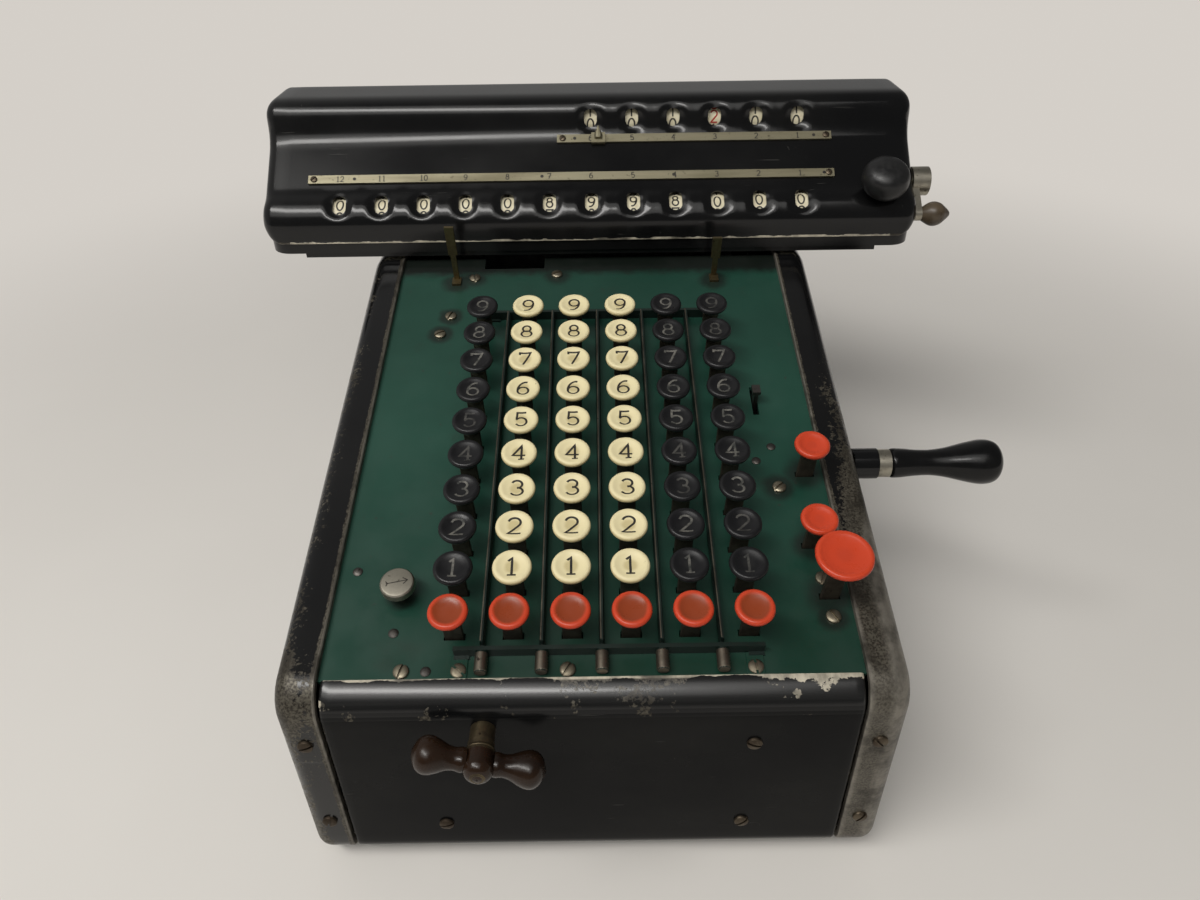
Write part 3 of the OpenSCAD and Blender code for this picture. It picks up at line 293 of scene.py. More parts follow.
class Look:
    """A procedural material on one Principled shader, with helpers that add nodes to it."""

    def __init__(self, name, **sockets):
        self.material = bpy.data.materials.new(name)
        self.material.use_nodes = True
        self.tree = self.material.node_tree
        self.shader = self.tree.nodes["Principled BSDF"]
        self.place = self.node("TexCoord", {}).outputs["Object"]
        self.set(**sockets)

    def set(self, **sockets):
        for name, value in sockets.items():
            put(self.tree, self.shader.inputs[name.replace("_", " ")], value)

    def node(self, kind, sockets, **settings):
        return add_node(self.tree, kind, sockets, **settings)

    def noise(self, scale, detail=4.0, roughness=0.55, stretch=(1, 1, 1), move=(0, 0, 0)):
        at = self.node("Mapping", {"Vector": self.place, "Scale": stretch, "Location": move}).outputs[0]
        return self.node("TexNoise", {"Vector": at, "Scale": scale, "Detail": detail,
                                      "Roughness": roughness}).outputs[0]

    def range(self, value, lo, hi, to_lo=0.0, to_hi=1.0):
        sockets = {"Value": value, "From Min": lo, "From Max": hi, "To Min": to_lo, "To Max": to_hi}
        return self.node("MapRange", sockets, interpolation_type="SMOOTHSTEP").outputs[0]

    def math(self, operation, a, b):
        return self.node("Math", {0: a, 1: b}, operation=operation, use_clamp=True).outputs[0]

    def plus(self, a, b, share):
        """a + b * share, kept between 0 and 1."""
        return self.math("ADD", a, self.math("MULTIPLY", b, share))

    def mix(self, factor, a, b):
        return self.node("Mix", {0: factor, 6: a, 7: b}, data_type="RGBA").outputs[2]

    def wear(self):
        return self.node("Attribute", {}, attribute_name="wear").outputs["Fac"]

    def axis(self, name):
        return self.node("SeparateXYZ", {0: self.place}).outputs[name]

    def away(self, point):
        return self.node("VectorMath", {0: self.place, 1: point}, operation="DISTANCE").outputs["Value"]

    def bump(self, height, strength, distance):
        node = self.node("Bump", {"Strength": strength, "Distance": distance, "Height": height})
        self.set(Normal=node.outputs[0])


# fasteners on the plate: sideways, along the plate, turn of the slot
PLATE_SCREWS = [(-64.5, 167.6, 30), (-61, 179.1, 65), (-52.5, 205, 100), (-15, 207, 20), (69.1, 82.3, 40),
                (79.2, 28.7, 120), (78.2, 43.3, 70)]
PLATE_SCREWS += [(x, FRONT_BAR_S, a) for x, a in (
    (-60.2, 75), (BAR_FEET[0], 140), (-7.7, 60), (BAR_FEET[1], 95))]
PLATE_RIVETS = [(-80, 48.6), (-64.5, 25), (68.8, 101.8), (62.3, 95), (-52.5, FRONT_BAR_S)]
# where the plate is darkened: dirt round the screws, two spots at the rear, round the red key bases, and
# painted shade under the item knob: sideways, along the plate, how far it spreads
GRIME_AND_SHADE = [(x, s, reach) for (x, s, _), reach in zip(PLATE_SCREWS, (3, 3, 4, 5, 4, 3))]
# two darkened spots at the rear
GRIME_AND_SHADE += [(-60.5, 202, 5), (56.5, 202, 5)]
# darkening round the red key bases, and painted shade under the item knob
GRIME_AND_SHADE += [(x, s, reach) for (_, x, s, _, _), reach in zip(FUNCTION_KEYS, (5, 6, 7))] + [(ITEM_X, ITEM_S, 3)]


def rear_mm(y):
    """Place in a material, in metres, of a distance behind the front face."""
    return (y - MID.y) / 1000


def enamel(name, paint, dusty, rough, specular, grain=(1, 1, 1.6), under=(0.25, 0.23, 0.195), polish=0.87,
           flake=0.4, shine=0.4):
    """Stoved paint with smears, hairline scratches, and chips down to the metal where wear says so."""
    look = Look(name, Specular_IOR_Level=specular)
    wear = look.wear()
    smear = look.noise(14, 5, 0.6, grain)
    line_a = look.range(look.noise(60, 2, 0.5, (1, 22, 9)), 0.715, 0.75)
    line_b = look.range(look.noise(70, 2, 0.5, (16, 1.2, 7), (3, 1, 2)), 0.735, 0.765)
    where = look.range(look.noise(25, 2), 0.45, 0.65)
    scratch = look.math("MULTIPLY", look.math("ADD", line_a, line_b), where)
    colour = look.mix(look.range(smear, 0.35, 0.75), paint, dusty)
    colour = look.mix(look.math("MULTIPLY", scratch, 0.3), colour, (0.1, 0.098, 0.09))
    coarse = look.noise(75, 4, 0.6, move=(5, 2, 1))
    coarse = look.range(coarse, 0.38, 0.62) if flake > 0.4 else coarse
    chips = look.plus(look.math("MULTIPLY", look.noise(640, 6, 0.66), 1 - flake), coarse, flake)
    worn = look.range(look.plus(chips, wear, 0.62), 0.735, 0.775)
    pits = look.range(look.noise(1300, 4, 0.6), 0.4, 0.62)
    pitted = look.mix(pits, (0.1, 0.09, 0.069), (0.028, 0.023, 0.017))
    streak = look.range(look.noise(240, 4, 0.6, (1, 0.3, 1)), 0.35, 0.7)
    steel = look.mix(streak, under, tuple(0.52 * c for c in under))
    bare = look.mix(look.range(look.plus(wear, smear, 0.24), polish, polish + 0.18), pitted, steel)
    rust = look.range(look.noise(55, 4, 0.6, move=(4, 4, 4)), 0.49, 0.63, 0, 0.74)
    bare = look.mix(rust, bare, (0.026, 0.022, 0.016))
    look.set(Base_Color=look.mix(worn, colour, bare), Metallic=look.math("MULTIPLY", worn, shine),
             Roughness=look.mix(worn, look.range(smear, 0.3, 0.75, rough, rough + 0.1),
                                look.range(look.noise(900, 3), 0.3, 0.7, 0.36, 0.54)))
    look.bump(look.math("MULTIPLY", look.noise(120, 3), 0.2), 0.1, 0.0003)
    return look.material


def plate_green():
    """Satin green paint: dirt in patches and round the fasteners, darker towards the front except at the
    left, darkening round the red key bases, painted shade under the item knob, and dirt with painted shade
    under the carriage along the rear edge.
    """
    look = Look("green_plate", Specular_IOR_Level=0.45)
    patch = look.noise(11, 5, 0.6)
    speck = look.range(look.noise(320, 4, 0.6), 0.66, 0.74)
    stain = look.range(look.noise(30, 4, 0.62, move=(2, 7, 3)), 0.6, 0.76)
    colour = look.mix(look.range(patch, 0.3, 0.72), (0.008, 0.044, 0.029), (0.015, 0.066, 0.045))
    colour = look.mix(look.math("MULTIPLY", stain, 0.55), colour, (0.016, 0.03, 0.021))
    colour = look.mix(look.math("MULTIPLY", speck, 0.6), colour, (0.03, 0.032, 0.025))
    front = look.math("MULTIPLY", look.range(look.axis("Y"), rear_mm(10), rear_mm(80), 0.8, 0),
                      look.range(look.axis("X"), -0.095, -0.03, 0.35, 1))
    colour = look.mix(front, colour, (0.002, 0.024, 0.0135))
    cloud = look.math("MULTIPLY", look.noise(160, 5, 0.62), 0.006)
    # darker along the rear edge: dirt, and painted shade under the carriage
    grime_and_shade = look.range(look.math("ADD", look.axis("Y"), cloud), *(rear_mm(y) for y in (200.5, 207)))
    for x, s, reach in GRIME_AND_SHADE:
        centre = (on_plate(x, s).translation - MID) / 1000
        gap = look.plus(look.away(centre), cloud, 0.6)
        grime_and_shade = look.math("MAXIMUM", grime_and_shade, look.range(gap, 0.0055 + reach / 1000, 0.0055, 0, 0.8))
    # the darkening mask, dirt and painted shade together, turns the green nearly black
    colour = look.mix(grime_and_shade, colour, (0.006, 0.009, 0.007))
    look.set(Base_Color=colour, Roughness=look.range(look.noise(60, 5), 0.3, 0.75, 0.3, 0.5))
    look.bump(look.noise(420, 4), 0.07, 0.0003)
    return look.material


def cap_look(name, face, centre, edge, nick, reach, rough):
    """Moulded key cap: colour by distance from the middle, with finger wear and small nicks."""
    look = Look(name, Specular_IOR_Level=0.32)
    cloud = look.noise(170, 5, 0.62)
    middle = look.range(look.plus(look.wear(), cloud, 0.28), reach, reach + 0.24)
    colour = look.mix(middle, centre, face)
    colour = look.mix(look.range(look.wear(), 0.93, 1.0), colour, edge)
    nicks = look.range(look.noise(520, 5, 0.65, move=(1, 4, 2)), 0.69, 0.74)
    colour = look.mix(look.math("MULTIPLY", nicks, 0.6), colour, nick)
    look.set(Base_Color=colour, Roughness=look.range(cloud, 0.3, 0.7, rough, rough + 0.2))
    look.bump(look.noise(700, 3), 0.06, 0.0002)
    return look.material


def metal(name, bright, dull, spot, rough, metallic=1.0, grain=(1, 1, 1)):
    """Bare or plated metal with tarnish and dark spots."""
    look = Look(name, Metallic=metallic)
    tarnish = look.noise(130, 5, 0.6, grain)
    colour = look.mix(look.range(tarnish, 0.34, 0.68), bright, dull)
    colour = look.mix(look.range(look.noise(420, 5, 0.65, move=(3, 1, 5)), 0.6, 0.72), colour, spot)
    look.set(Base_Color=colour, Roughness=look.range(tarnish, 0.3, 0.7, rough, rough + 0.22))
    look.bump(look.noise(800, 4, 0.6, grain), 0.1, 0.0002)
    return look.material


def plain(name, light, dark, rough, scale, stretch=(1, 1, 1), bump=0.1, specular=0.45):
    """Wood, rubber, ink and the like: two tones in a grain."""
    look = Look(name, Specular_IOR_Level=specular)
    grain = look.noise(scale, 5, 0.6, stretch)
    look.set(Base_Color=look.mix(look.range(grain, 0.32, 0.68), light, dark),
             Roughness=look.range(look.noise(scale * 2, 4), 0.3, 0.7, rough, rough + 0.18))
    look.bump(grain, bump, 0.0002)
    return look.material


JAPAN = (0.0035, 0.0036, 0.004)
RED_FACE, RED_EDGE = (0.56, 0.056, 0.02), (0.52, 0.046, 0.016)
BLACK = enamel("black_enamel", JAPAN, (0.006, 0.006, 0.006), 0.12, 0.38)
FRONT = enamel("front_enamel", JAPAN, (0.009, 0.009, 0.0085), 0.16, 0.07)
LIP = [enamel(f"polished_lip_{i}", JAPAN, (0.014, 0.014, 0.0135), 0.17, 0.12 + 0.16 * i, (0.12, 6, 12),
              under=(0.56, 0.51, 0.4), polish=0.2, flake=0.5, shine=0.1) for i in range(4)]
GREEN = plate_green()
DARK_BAR = enamel("dark_bar", (0.006, 0.014, 0.011), (0.012, 0.022, 0.017), 0.34, 0.4)
IVORY = cap_look("ivory_cap", (0.8, 0.71, 0.43), (0.6, 0.51, 0.275), (0.68, 0.57, 0.31), (0.2, 0.14, 0.06),
                 0.38, 0.3)
JET = cap_look("black_cap", (0.008, 0.008, 0.009), (0.0125, 0.0125, 0.013), (0.014, 0.014, 0.015),
               (0.02, 0.02, 0.02), 0.3, 0.24)
RED = cap_look("red_cap", RED_FACE, (0.26, 0.046, 0.014), RED_EDGE, (0.12, 0.03, 0.02), 0.76, 0.24)
RED_CLEAN = cap_look("red_cap_clean", RED_FACE, (0.52, 0.054, 0.021), RED_EDGE, (0.3, 0.04, 0.02), 0.3, 0.24)
STEM = metal("stem_steel", (0.09, 0.075, 0.055), (0.04, 0.033, 0.025), (0.02, 0.015, 0.01), 0.45, 0.7)
NICKEL = metal("nickel", (0.46, 0.43, 0.35), (0.29, 0.27, 0.225), (0.1, 0.085, 0.065), 0.28)
STRIP = metal("nickel_silver", (0.3, 0.275, 0.19), (0.21, 0.19, 0.125), (0.1, 0.085, 0.055), 0.4, 0.9,
              (0.12, 1, 1))
HORN = plain("brown_horn", (0.1, 0.075, 0.047), (0.055, 0.04, 0.026), 0.24, 120, (0.4, 1, 1), 0.05)
PATINA = metal("dark_bronze", (0.16, 0.125, 0.07), (0.06, 0.046, 0.03), (0.022, 0.016, 0.012), 0.3, 0.85)
SCREW = metal("screw_metal", (0.32, 0.285, 0.21), (0.15, 0.13, 0.095), (0.045, 0.034, 0.022), 0.36)
BRASS = metal("dull_brass", (0.21, 0.168, 0.09), (0.1, 0.078, 0.042), (0.04, 0.03, 0.018), 0.36)
KNURL = metal("knurled_steel", (0.24, 0.215, 0.17), (0.12, 0.103, 0.08), (0.045, 0.037, 0.03), 0.38)
STEEL = metal("steel", (0.42, 0.42, 0.42), (0.3, 0.3, 0.3), (0.12, 0.11, 0.1), 0.32)
DARK_STEEL = metal("dark_steel", (0.13, 0.12, 0.11), (0.07, 0.065, 0.06), (0.03, 0.025, 0.02), 0.38)
BRONZE = metal("worn_bronze", (0.13, 0.105, 0.075), (0.06, 0.046, 0.034), (0.025, 0.02, 0.015), 0.4)
WOOD = plain("brown_wood", (0.021, 0.0105, 0.0055), (0.009, 0.0048, 0.003), 0.15, 90, (0.25, 1, 1), 0.04, 0.3)
GRIP = plain("black_gloss", (0.0035, 0.0035, 0.0038), (0.006, 0.006, 0.006), 0.1, 60, (0.4, 1, 1), 0.02, 0.28)
KNOB = plain("black_satin", (0.008, 0.008, 0.0085), (0.013, 0.013, 0.013), 0.3, 220)
RUBBER = plain("black_rubber", (0.014, 0.014, 0.014), (0.022, 0.021, 0.02), 0.7, 300)
DIAL = plain("dial_white", (0.78, 0.72, 0.53), (0.64, 0.58, 0.4), 0.4, 260, bump=0.04)
INK = plain("black_ink", (0.011, 0.009, 0.007), (0.026, 0.021, 0.015), 0.5, 500, bump=0.02)
INK_RED = plain("red_ink", (0.42, 0.035, 0.02), (0.3, 0.025, 0.015), 0.5, 500, bump=0.02)
PALE = plain("pale_ink", (0.15, 0.143, 0.125), (0.02, 0.022, 0.02), 0.5, 330, bump=0.02)
BLIND = plain("dull_ink", (0.07, 0.067, 0.06), (0.014, 0.014, 0.013), 0.5, 330, bump=0.02)


# ---- case

BOTTOM_STEPS, GLOSS_STEP = 24, 1.9


def panel_loop(d):
    """Closed side view of a side panel, set in by d."""
    zc = PLATE_Z + PANEL_R * TL + FLANGE_T / CL - PANEL_R / CL
    pts = arc((UNDER_R, FOOT + UNDER_R), UNDER_R - d, 270, 180, 8)
    pts += line((d, FOOT + UNDER_R), (d, zc), 14)[1:-1]
    top = arc((PANEL_R, zc), PANEL_R - d, 180, 90 + SLOPE_DEG, 12)
    pts += top
    knee = (LEVEL_Y + d * math.tan(SLOPE / 2), LEVEL_Z - d)
    pts += line(top[-1], knee, 50)[1:]
    rear = arc((CASE_D - REAR_R, LEVEL_Z - REAR_R), REAR_R - d, 90, 0, 8)
    pts += line(knee, rear[0], 12)[1:-1] + rear
    pts += line(rear[-1], (CASE_D - d, FOOT + d), 16)[1:]
    return pts + line((CASE_D - d, FOOT + d), (UNDER_R, FOOT + d), BOTTOM_STEPS)[1:-1]


def panel(side, name, node):
    """Side panel with a flange and a softly rounded outer edge; wear is heaviest at the front corner."""
    soft = 6
    path = [(SEAM + 0.1, FLANGE_T), (SEAM + 0.1, 0.4), (SEAM + 0.5, 0)]
    path += [(x, 0) for x in (88, 90, 92)]
    path += [(HALF_W - soft + soft * math.sin(rad(a)), soft - soft * math.cos(rad(a)))
             for a in range(0, 91, 10)]
    path += [(HALF_W, soft + 0.8)]
    loops = [[(x, p.x, p.y) for p in panel_loop(d)] for x, d in path]
    n = len(loops[0])

    def wear(v):
        inner = 1 - smoothstep(SEAM + 0.45, SEAM + 0.9, v.x)
        over = smoothstep(91, 97, v.x)
        front = 1 - smoothstep(5, 24, v.y)
        low = 1 - smoothstep(6, 30, v.z)
        side_face = smoothstep(HALF_W - 0.5, HALF_W, v.x)
        if side > 0:
            bare = 0.76 - 0.44 * smoothstep(40, 105, v.y) - 0.18 * smoothstep(105, 165, v.y)
            bare += (0.2 - 0.12 * smoothstep(60, 130, v.y)) * over
            bare -= 0.24 * (1 - smoothstep(87, 93, v.x)) * smoothstep(20, 34, v.y)
            level = max(bare, 0.55 + 0.25 * front)
            level = bare if v.y > 24 else level
        else:
            level = 0.16 + (0.19 - 0.05 * smoothstep(120, 220, v.y)) * over
            level += front * (0.3 * smoothstep(66, 84, v.z) + 0.3 * low * over + 0.05)
        level *= 1 - 0.62 * side_face * smoothstep(10, 40, min(v.y, 300 - v.y))
        return max(level, 0.9 * inner)

    verts, faces = rings(loops)
    bottom, flange_end = range(n - BOTTOM_STEPS, n), 93
    keep = [f for f in faces if not (f[0] % n in bottom and verts[f[0]][0] < flange_end)]
    place = Matrix.Scale(side, 4, (1, 0, 0))
    build = Build().add(verts, keep, place, 0, wear, flip=side > 0)
    rim, mid_y, mid_z = loops[-1], CASE_D / 2, 62
    face = [(x, mid_y + 0.94 * (y - mid_y), mid_z + 0.9 * (z - mid_z)) for x, y, z in rim]
    level = [wear(Vector(v)) for v in rim] + [0.12] * n
    build.add(*rings([rim, face], last=True), place, 0, level, side > 0)
    build.piece(name, "case", [BLACK], "black_enamel", (node,))


panel(-1, "panel_left_skin", "left_side_panel")
panel(1, "panel_right_skin", "right_side_panel")

LIP_Z = PLATE_Z + COVER_R * TL + LIP_RISE / CL - COVER_R / CL


def cover_loop(d):
    """Open side view of the front cover, set in by d."""
    pts = [Vector((COVER_R * (1 - SL), FOOT + d))]
    pts += arc((UNDER_R, FOOT + UNDER_R), UNDER_R - d, 270, 180, 10)
    pts += line((d, FOOT + UNDER_R), (d, LIP_Z), 16)[1:-1]
    pts += arc((COVER_R, LIP_Z), COVER_R - d, 180, 90 + SLOPE_DEG, 18)
    return pts + [pts[-1] + Vector((SL, -CL)) * FRONT_T]


def front_cover():
    """Pressed front cover with a rounded lip, rubbed along the lip and chipped at its ends."""
    path = [(-SEAM + 0.9, 1.6), (-SEAM + 1.05, 0.7), (-SEAM + 1.5, 0.2), (-SEAM + 2.2, 0)]
    path += [(-SEAM + 2.2 + (2 * SEAM - 4.4) * i / 80, 0) for i in range(1, 80)]
    path += [(-x, d) for x, d in reversed(path[:4])]

    def wear(v):
        edge = 0.95 * smoothstep(88.5, 88.8, v.z)
        deep = 88.9 - smoothstep(55, 66, v.x) - 2.6 * math.exp(-((v.x - 72.5) / 2.9) ** 2)
        chip = 0.66 * smoothstep(deep - 0.8, deep + 0.7, v.z) + 0.2 * smoothstep(81, 86, v.z)
        chip *= smoothstep(50, 60, v.x)
        low = (1 - smoothstep(5, 12, v.z)) * (0.3 + 0.2 * smoothstep(30, 60, v.x))
        ends = 0.36 * smoothstep(83.4, 85, abs(v.x))
        return (0.05 if v.z < LIP_Z else 0) + edge + chip + low + ends

    loops = [[(x, p.x, p.y) for p in cover_loop(d)] for x, d in path]
    verts, faces = rings(loops, closed=False)
    gloss = lambda f: min(max(math.ceil((min(verts[i][2] for i in f) - LIP_Z) / GLOSS_STEP), 0), len(LIP))
    build = Build().add(verts, faces, slot=gloss, wear=wear)
    build.piece("front_cover_skin", "case", [FRONT, *LIP], "black_enamel", ("front_cover",))


front_cover()

# fasteners on the front: sideways, share of the lip's height, turn of the slot
FRONT_SCREWS = [(-51.6, 0.3, 15), (51.6, 0.84, 160), (50.74, 0.29, 40), (-91.8, 0.86, 20),
                (-91.8, 0.33, 70), (91.8, 0.84, 130), (91.8, 0.31, 55)]


def fasteners():
    """Slotted screws and rivets of the plate and the front."""
    build = Build()
    head = screw(5, 1.35, 0.8)
    for x, s, a in PLATE_SCREWS:
        build.add(*head, on_plate(x, s) @ turn(a, "Z"))
    rivet = lathe([(1.7, 0), (1.7, 0.25), (1.35, 0.5), (0.75, 0.66), (0.1, 0.72)], 20)
    for x, s in PLATE_RIVETS:
        build.add(*rivet, on_plate(x, s), 1)
    for x, share, a in FRONT_SCREWS:
        build.add(*head, shift(x, 0, share * LIP_Z) @ turn(90, "X") @ turn(a, "Z"), 2)
    build.piece("case_fasteners", "case", [SCREW, DARK_STEEL, BRONZE], "brass", ("case_screws",), 40)


fasteners()

feet = Build()
for x in BAR_FEET:
    feet.add(*block((x - 2.8, -4.1, 0), (x + 2.8, 5, 0.5), 0.15), on_plate(0, FRONT_BAR_S))
feet.piece("bar_foot_plates", "case", [GREEN], "green_enamel")


# ---- keys

def cap_profile(d, top):
    """Profile of a cap from below to the middle of its dish."""
    r, neck = d / 2, NECK_D / 2
    return [(neck, top - CAP_H), (neck + 0.9, top - CAP_H + 0.15), (r - 2.1, top - 3.4),
            (r - 0.95, top - 2.65), (r - 0.25, top - 1.95), (r, top - 1.2), (r - 0.12, top - 0.62),
            (r - 0.45, top - 0.22), (r - 0.95, top - 0.03), (r - 1.4, top - 0.04), (r - 1.9, top - 0.24),
            (r - 2.5, top - 0.5), (r * 0.45, top - 0.8), (r * 0.2, top - 0.88), (0.05, top - 0.9)]


DISH_FROM = 8  # point of the profile where the dish begins
KEY_DIGIT_H, KEY_DIGIT_LINE, KEY_DIGIT_WIDEN = 6.3, 0.68, 1.2


def dish(d, top, radius):
    """Height of the cap surface at a radius."""
    pts = cap_profile(d, top)[DISH_FROM:]
    for (r0, z0), (r1, z1) in zip(pts, pts[1:]):
        if r1 <= radius <= r0:
            return z1 + (z0 - z1) * (radius - r1) / (r0 - r1)
    return pts[-1][1]


def key(build, place, d, top, digit=None, ink=2):
    """A cap with its neck and flat stem; slots: cap, stem, ink."""
    under, neck, wide = top - CAP_H, NECK_D / 2, KEY_DIGIT_WIDEN
    rim = lambda v: min(math.hypot(v.x, v.y) / (d / 2), 1) if v.z > top - 1 else 1.0
    build.add(*lathe(cap_profile(d, top), 40), place, 0, rim)
    # the neck takes the dark stem finish instead of the cap's colour: partly painted shade under the cap,
    # partly dirt
    build.add(*lathe([(neck - 0.4, under - 3), (neck, under - 2.6), (neck, under + 0.2)], 24), place, 1)
    stem = block((-STEM_W / 2, -STEM_D / 2, -STEM_BELOW), (STEM_W / 2, STEM_D / 2, under - 1.5), 0.25)
    build.add(*stem, place, 1)
    if digit is not None:
        lay = lambda x, y: (wide * x, y, dish(d, top, math.hypot(wide * x, y)) + 0.035)
        build.add(*numeral(digit, KEY_DIGIT_H, KEY_DIGIT_LINE, lay), place, ink)


def column(c):
    return COL_MID + (c - 3.5) * COL_PITCH


for row in range(1, 10):
    s, body = ROW_1 + (row - 1) * ROW_PITCH, f"digit_row_{row}"
    dark, light = Build(), Build()
    for c in (1, 5, 6):
        faded = (row * 5 + c * 3) % 7 in (0, 2)
        key(dark, on_plate(column(c), s), CAP_D, KEY_TOP, row, 3 if faded else 2)
    for c in (2, 3, 4):
        key(light, on_plate(column(c), s), CAP_D, KEY_TOP, row)
    dark.piece(f"black_caps_{row}", body, [JET, STEM, PALE, BLIND], "black_key", (f"black_keys_{row}",))
    light.piece(f"ivory_caps_{row}", body, [IVORY, STEM, INK], "ivory_key", (f"ivory_keys_{row}",))

red_row = Build()
for c in range(1, 7):
    key(red_row, on_plate(column(c), RED_S), RED_D, RED_TOP)
red_row.piece("column_clear_caps", "column_clear", [RED, STEM], "red_key", ("column_clear_keys",))
for name, x, s, d, top in FUNCTION_KEYS:
    one = Build()
    key(one, on_plate(x, s), d, top)
    one.piece(f"{name}_cap", name, [RED_CLEAN, STEM], "red_key", (f"{name}_key",))


# ---- small controls

def item_knob():
    """Plated knob with a fluted rim and an arrow cut across its top."""
    build = Build()
    place = on_plate(ITEM_X, ITEM_S)
    n, top = 72, 9
    rim = ((1.9, 5.7, 0), (4.6, 5.6, 0), (5.5, 5.8, 0), (5.8, 6.2, 0.12), (5.8, 8, 0.12), (5.65, 8.5, 0.06),
           (5.2, 8.88, 0), (4.6, top, 0), (0.05, top, 0))
    build.add(*rings([circle(r, z, n, flute) for r, z, flute in rim], last=True), place)
    bar = [Vector((-3.6, 0)), Vector((3.5, 0))]
    head = [Vector((2, 1.2)), Vector((3.6, 0)), Vector((2, -1.2))]
    tail = [Vector((-3.6, 0.9)), Vector((-3, 0)), Vector((-3.6, -0.9))]
    for path in (bar, head, tail):
        for a, b in zip(path, path[1:]):
            side = Vector((a.y - b.y, b.x - a.x)).normalized() * 0.16
            cut = [(*p, top + 0.03) for p in (a - side, b - side, b + side, a + side)]
            build.add(cut, [(0, 1, 2, 3)], place @ turn(12, "Z"), 1)
    build.add(*lathe([(1.93, -4), (1.93, 6)], 24), place)
    build.piece("item_knob_top", "item_count", [NICKEL, INK], "nickel", ("item_count_knob",), 30)


item_knob()


def knurl(n):
    """Knurled end of a decimal marker, and a painted highlight: a bright steel strip along the top edge of
    its blade.
    """
    around, along, r = 26, 13, 1.95
    x = column(n) + COL_PITCH / 2
    loops = [circle(r - (0.35 if j in (0, along) else 0), KNURL_L * j / along, around, -0.16, j)
             for j in range(along + 1)]
    build = Build().add(*rings(loops, first=True, last=True), on_plate(x, KNURL_S, KNURL_Z) @ turn(-90, "X"))
    # painted highlight: a thin bright steel strip on the blade's top left edge, where light catches it
    corner = ((-0.48, 5.75), (-0.48, 6.13), (-0.1, 6.13))
    loops = [[(dx, s, z) for dx, z in corner] for s in (18.9, 70, 122, 175.3)]
    build.add(*rings(loops, first=True, last=True), on_plate(x, 0))
    build.piece(f"marker_knurl_{n}", f"marker_{n}", [KNURL], "steel", (), 20)


for n in range(1, 6):
    knurl(n)


# ---- crank and shift handle

GRIP_AT = shift(GRIP_X, CRANK_Y - ARM_L * math.cos(rad(ARM_REST)),
                CRANK_Z + ARM_L * math.sin(rad(ARM_REST))) @ turn(90, "Y")
# turned shapes: share of the length, share of the radius
GRIP_SHAPE = [(0, .58), (.02, .66), (.1, .65), (.24, .585), (.36, .575), (.48, .65), (.6, .79), (.7, .91),
              (.8, 1), (.88, .985), (.94, .86), (.98, .58), (1, .2)]
KNOB_SHAPE = [(0, .62), (.08, .66), (.2, .6), (.34, .66), (.5, .86), (.66, 1), (.8, .96), (.92, .7), (1, .2)]
HUB_SHAPE = [(.31, .89), (.42, .88), (.45, .97), (.47, 1), (.5, .97), (.54, 1.01), (.8, 1.02), (.88, .95),
             (.94, .8), (.98, .56), (1.015, .1)]
BEAD_SHAPE = [(0, .5), (.1, .66), (.3, .93), (.48, 1), (.68, .86), (.84, .56), (.92, .4), (1, .2)]


def turned(shape, length, r):
    """A turned shape of a length and a largest radius."""
    profile = [(p.y * r, p.x * length) for p in curve_through(shape)]
    return lathe(profile + [(r * 0.04, length)], 40)


grip = Build().add(*turned(GRIP_SHAPE, GRIP_L, GRIP_R), GRIP_AT)
grip.piece("grip_turned", "grip", [GRIP], "black_gloss", ("crank_grip",), 60)

t_handle = Build()
for side in (0, 180):
    bar = shift(SHIFT_X, -SHIFT_REACH, SHIFT_Z) @ turn(SHIFT_TILT, "Y")
    t_handle.add(*turned(KNOB_SHAPE, 16.3, 5.75), bar @ turn(side, "Z") @ shift(4.2, 0, 0) @ turn(90, "Y"))
t_handle.piece("shift_knobs_turned", "shift_handle", [WOOD], "brown_wood", ("shift_knobs",), 60)

hub_verts, hub_faces = turned(HUB_SHAPE, HUB_L, HUB_R)
hub = Build().add(hub_verts, hub_faces, shift(SHIFT_X, 0, SHIFT_Z) @ turn(90, "X"),
                  lambda f: int(min(hub_verts[i][2] for i in f) > HUB_WOOD * HUB_L))
hub.piece("shift_hub_turned", "shift_handle", [PATINA, WOOD], "dark_steel", (), 60)


# ---- carriage

RIDGE_END, SQUARE, FILLET = 101, 0.72, 4.5
RIDGE_PT = LOW + RIDGE_LOW * Vector((math.cos(rad(RIDGE_END)), math.sin(rad(RIDGE_END))))
VALLEY_END = UP.x - RIDGE_UP - 0.8
VALLEY_RUN = VALLEY_END - RIDGE_PT.x


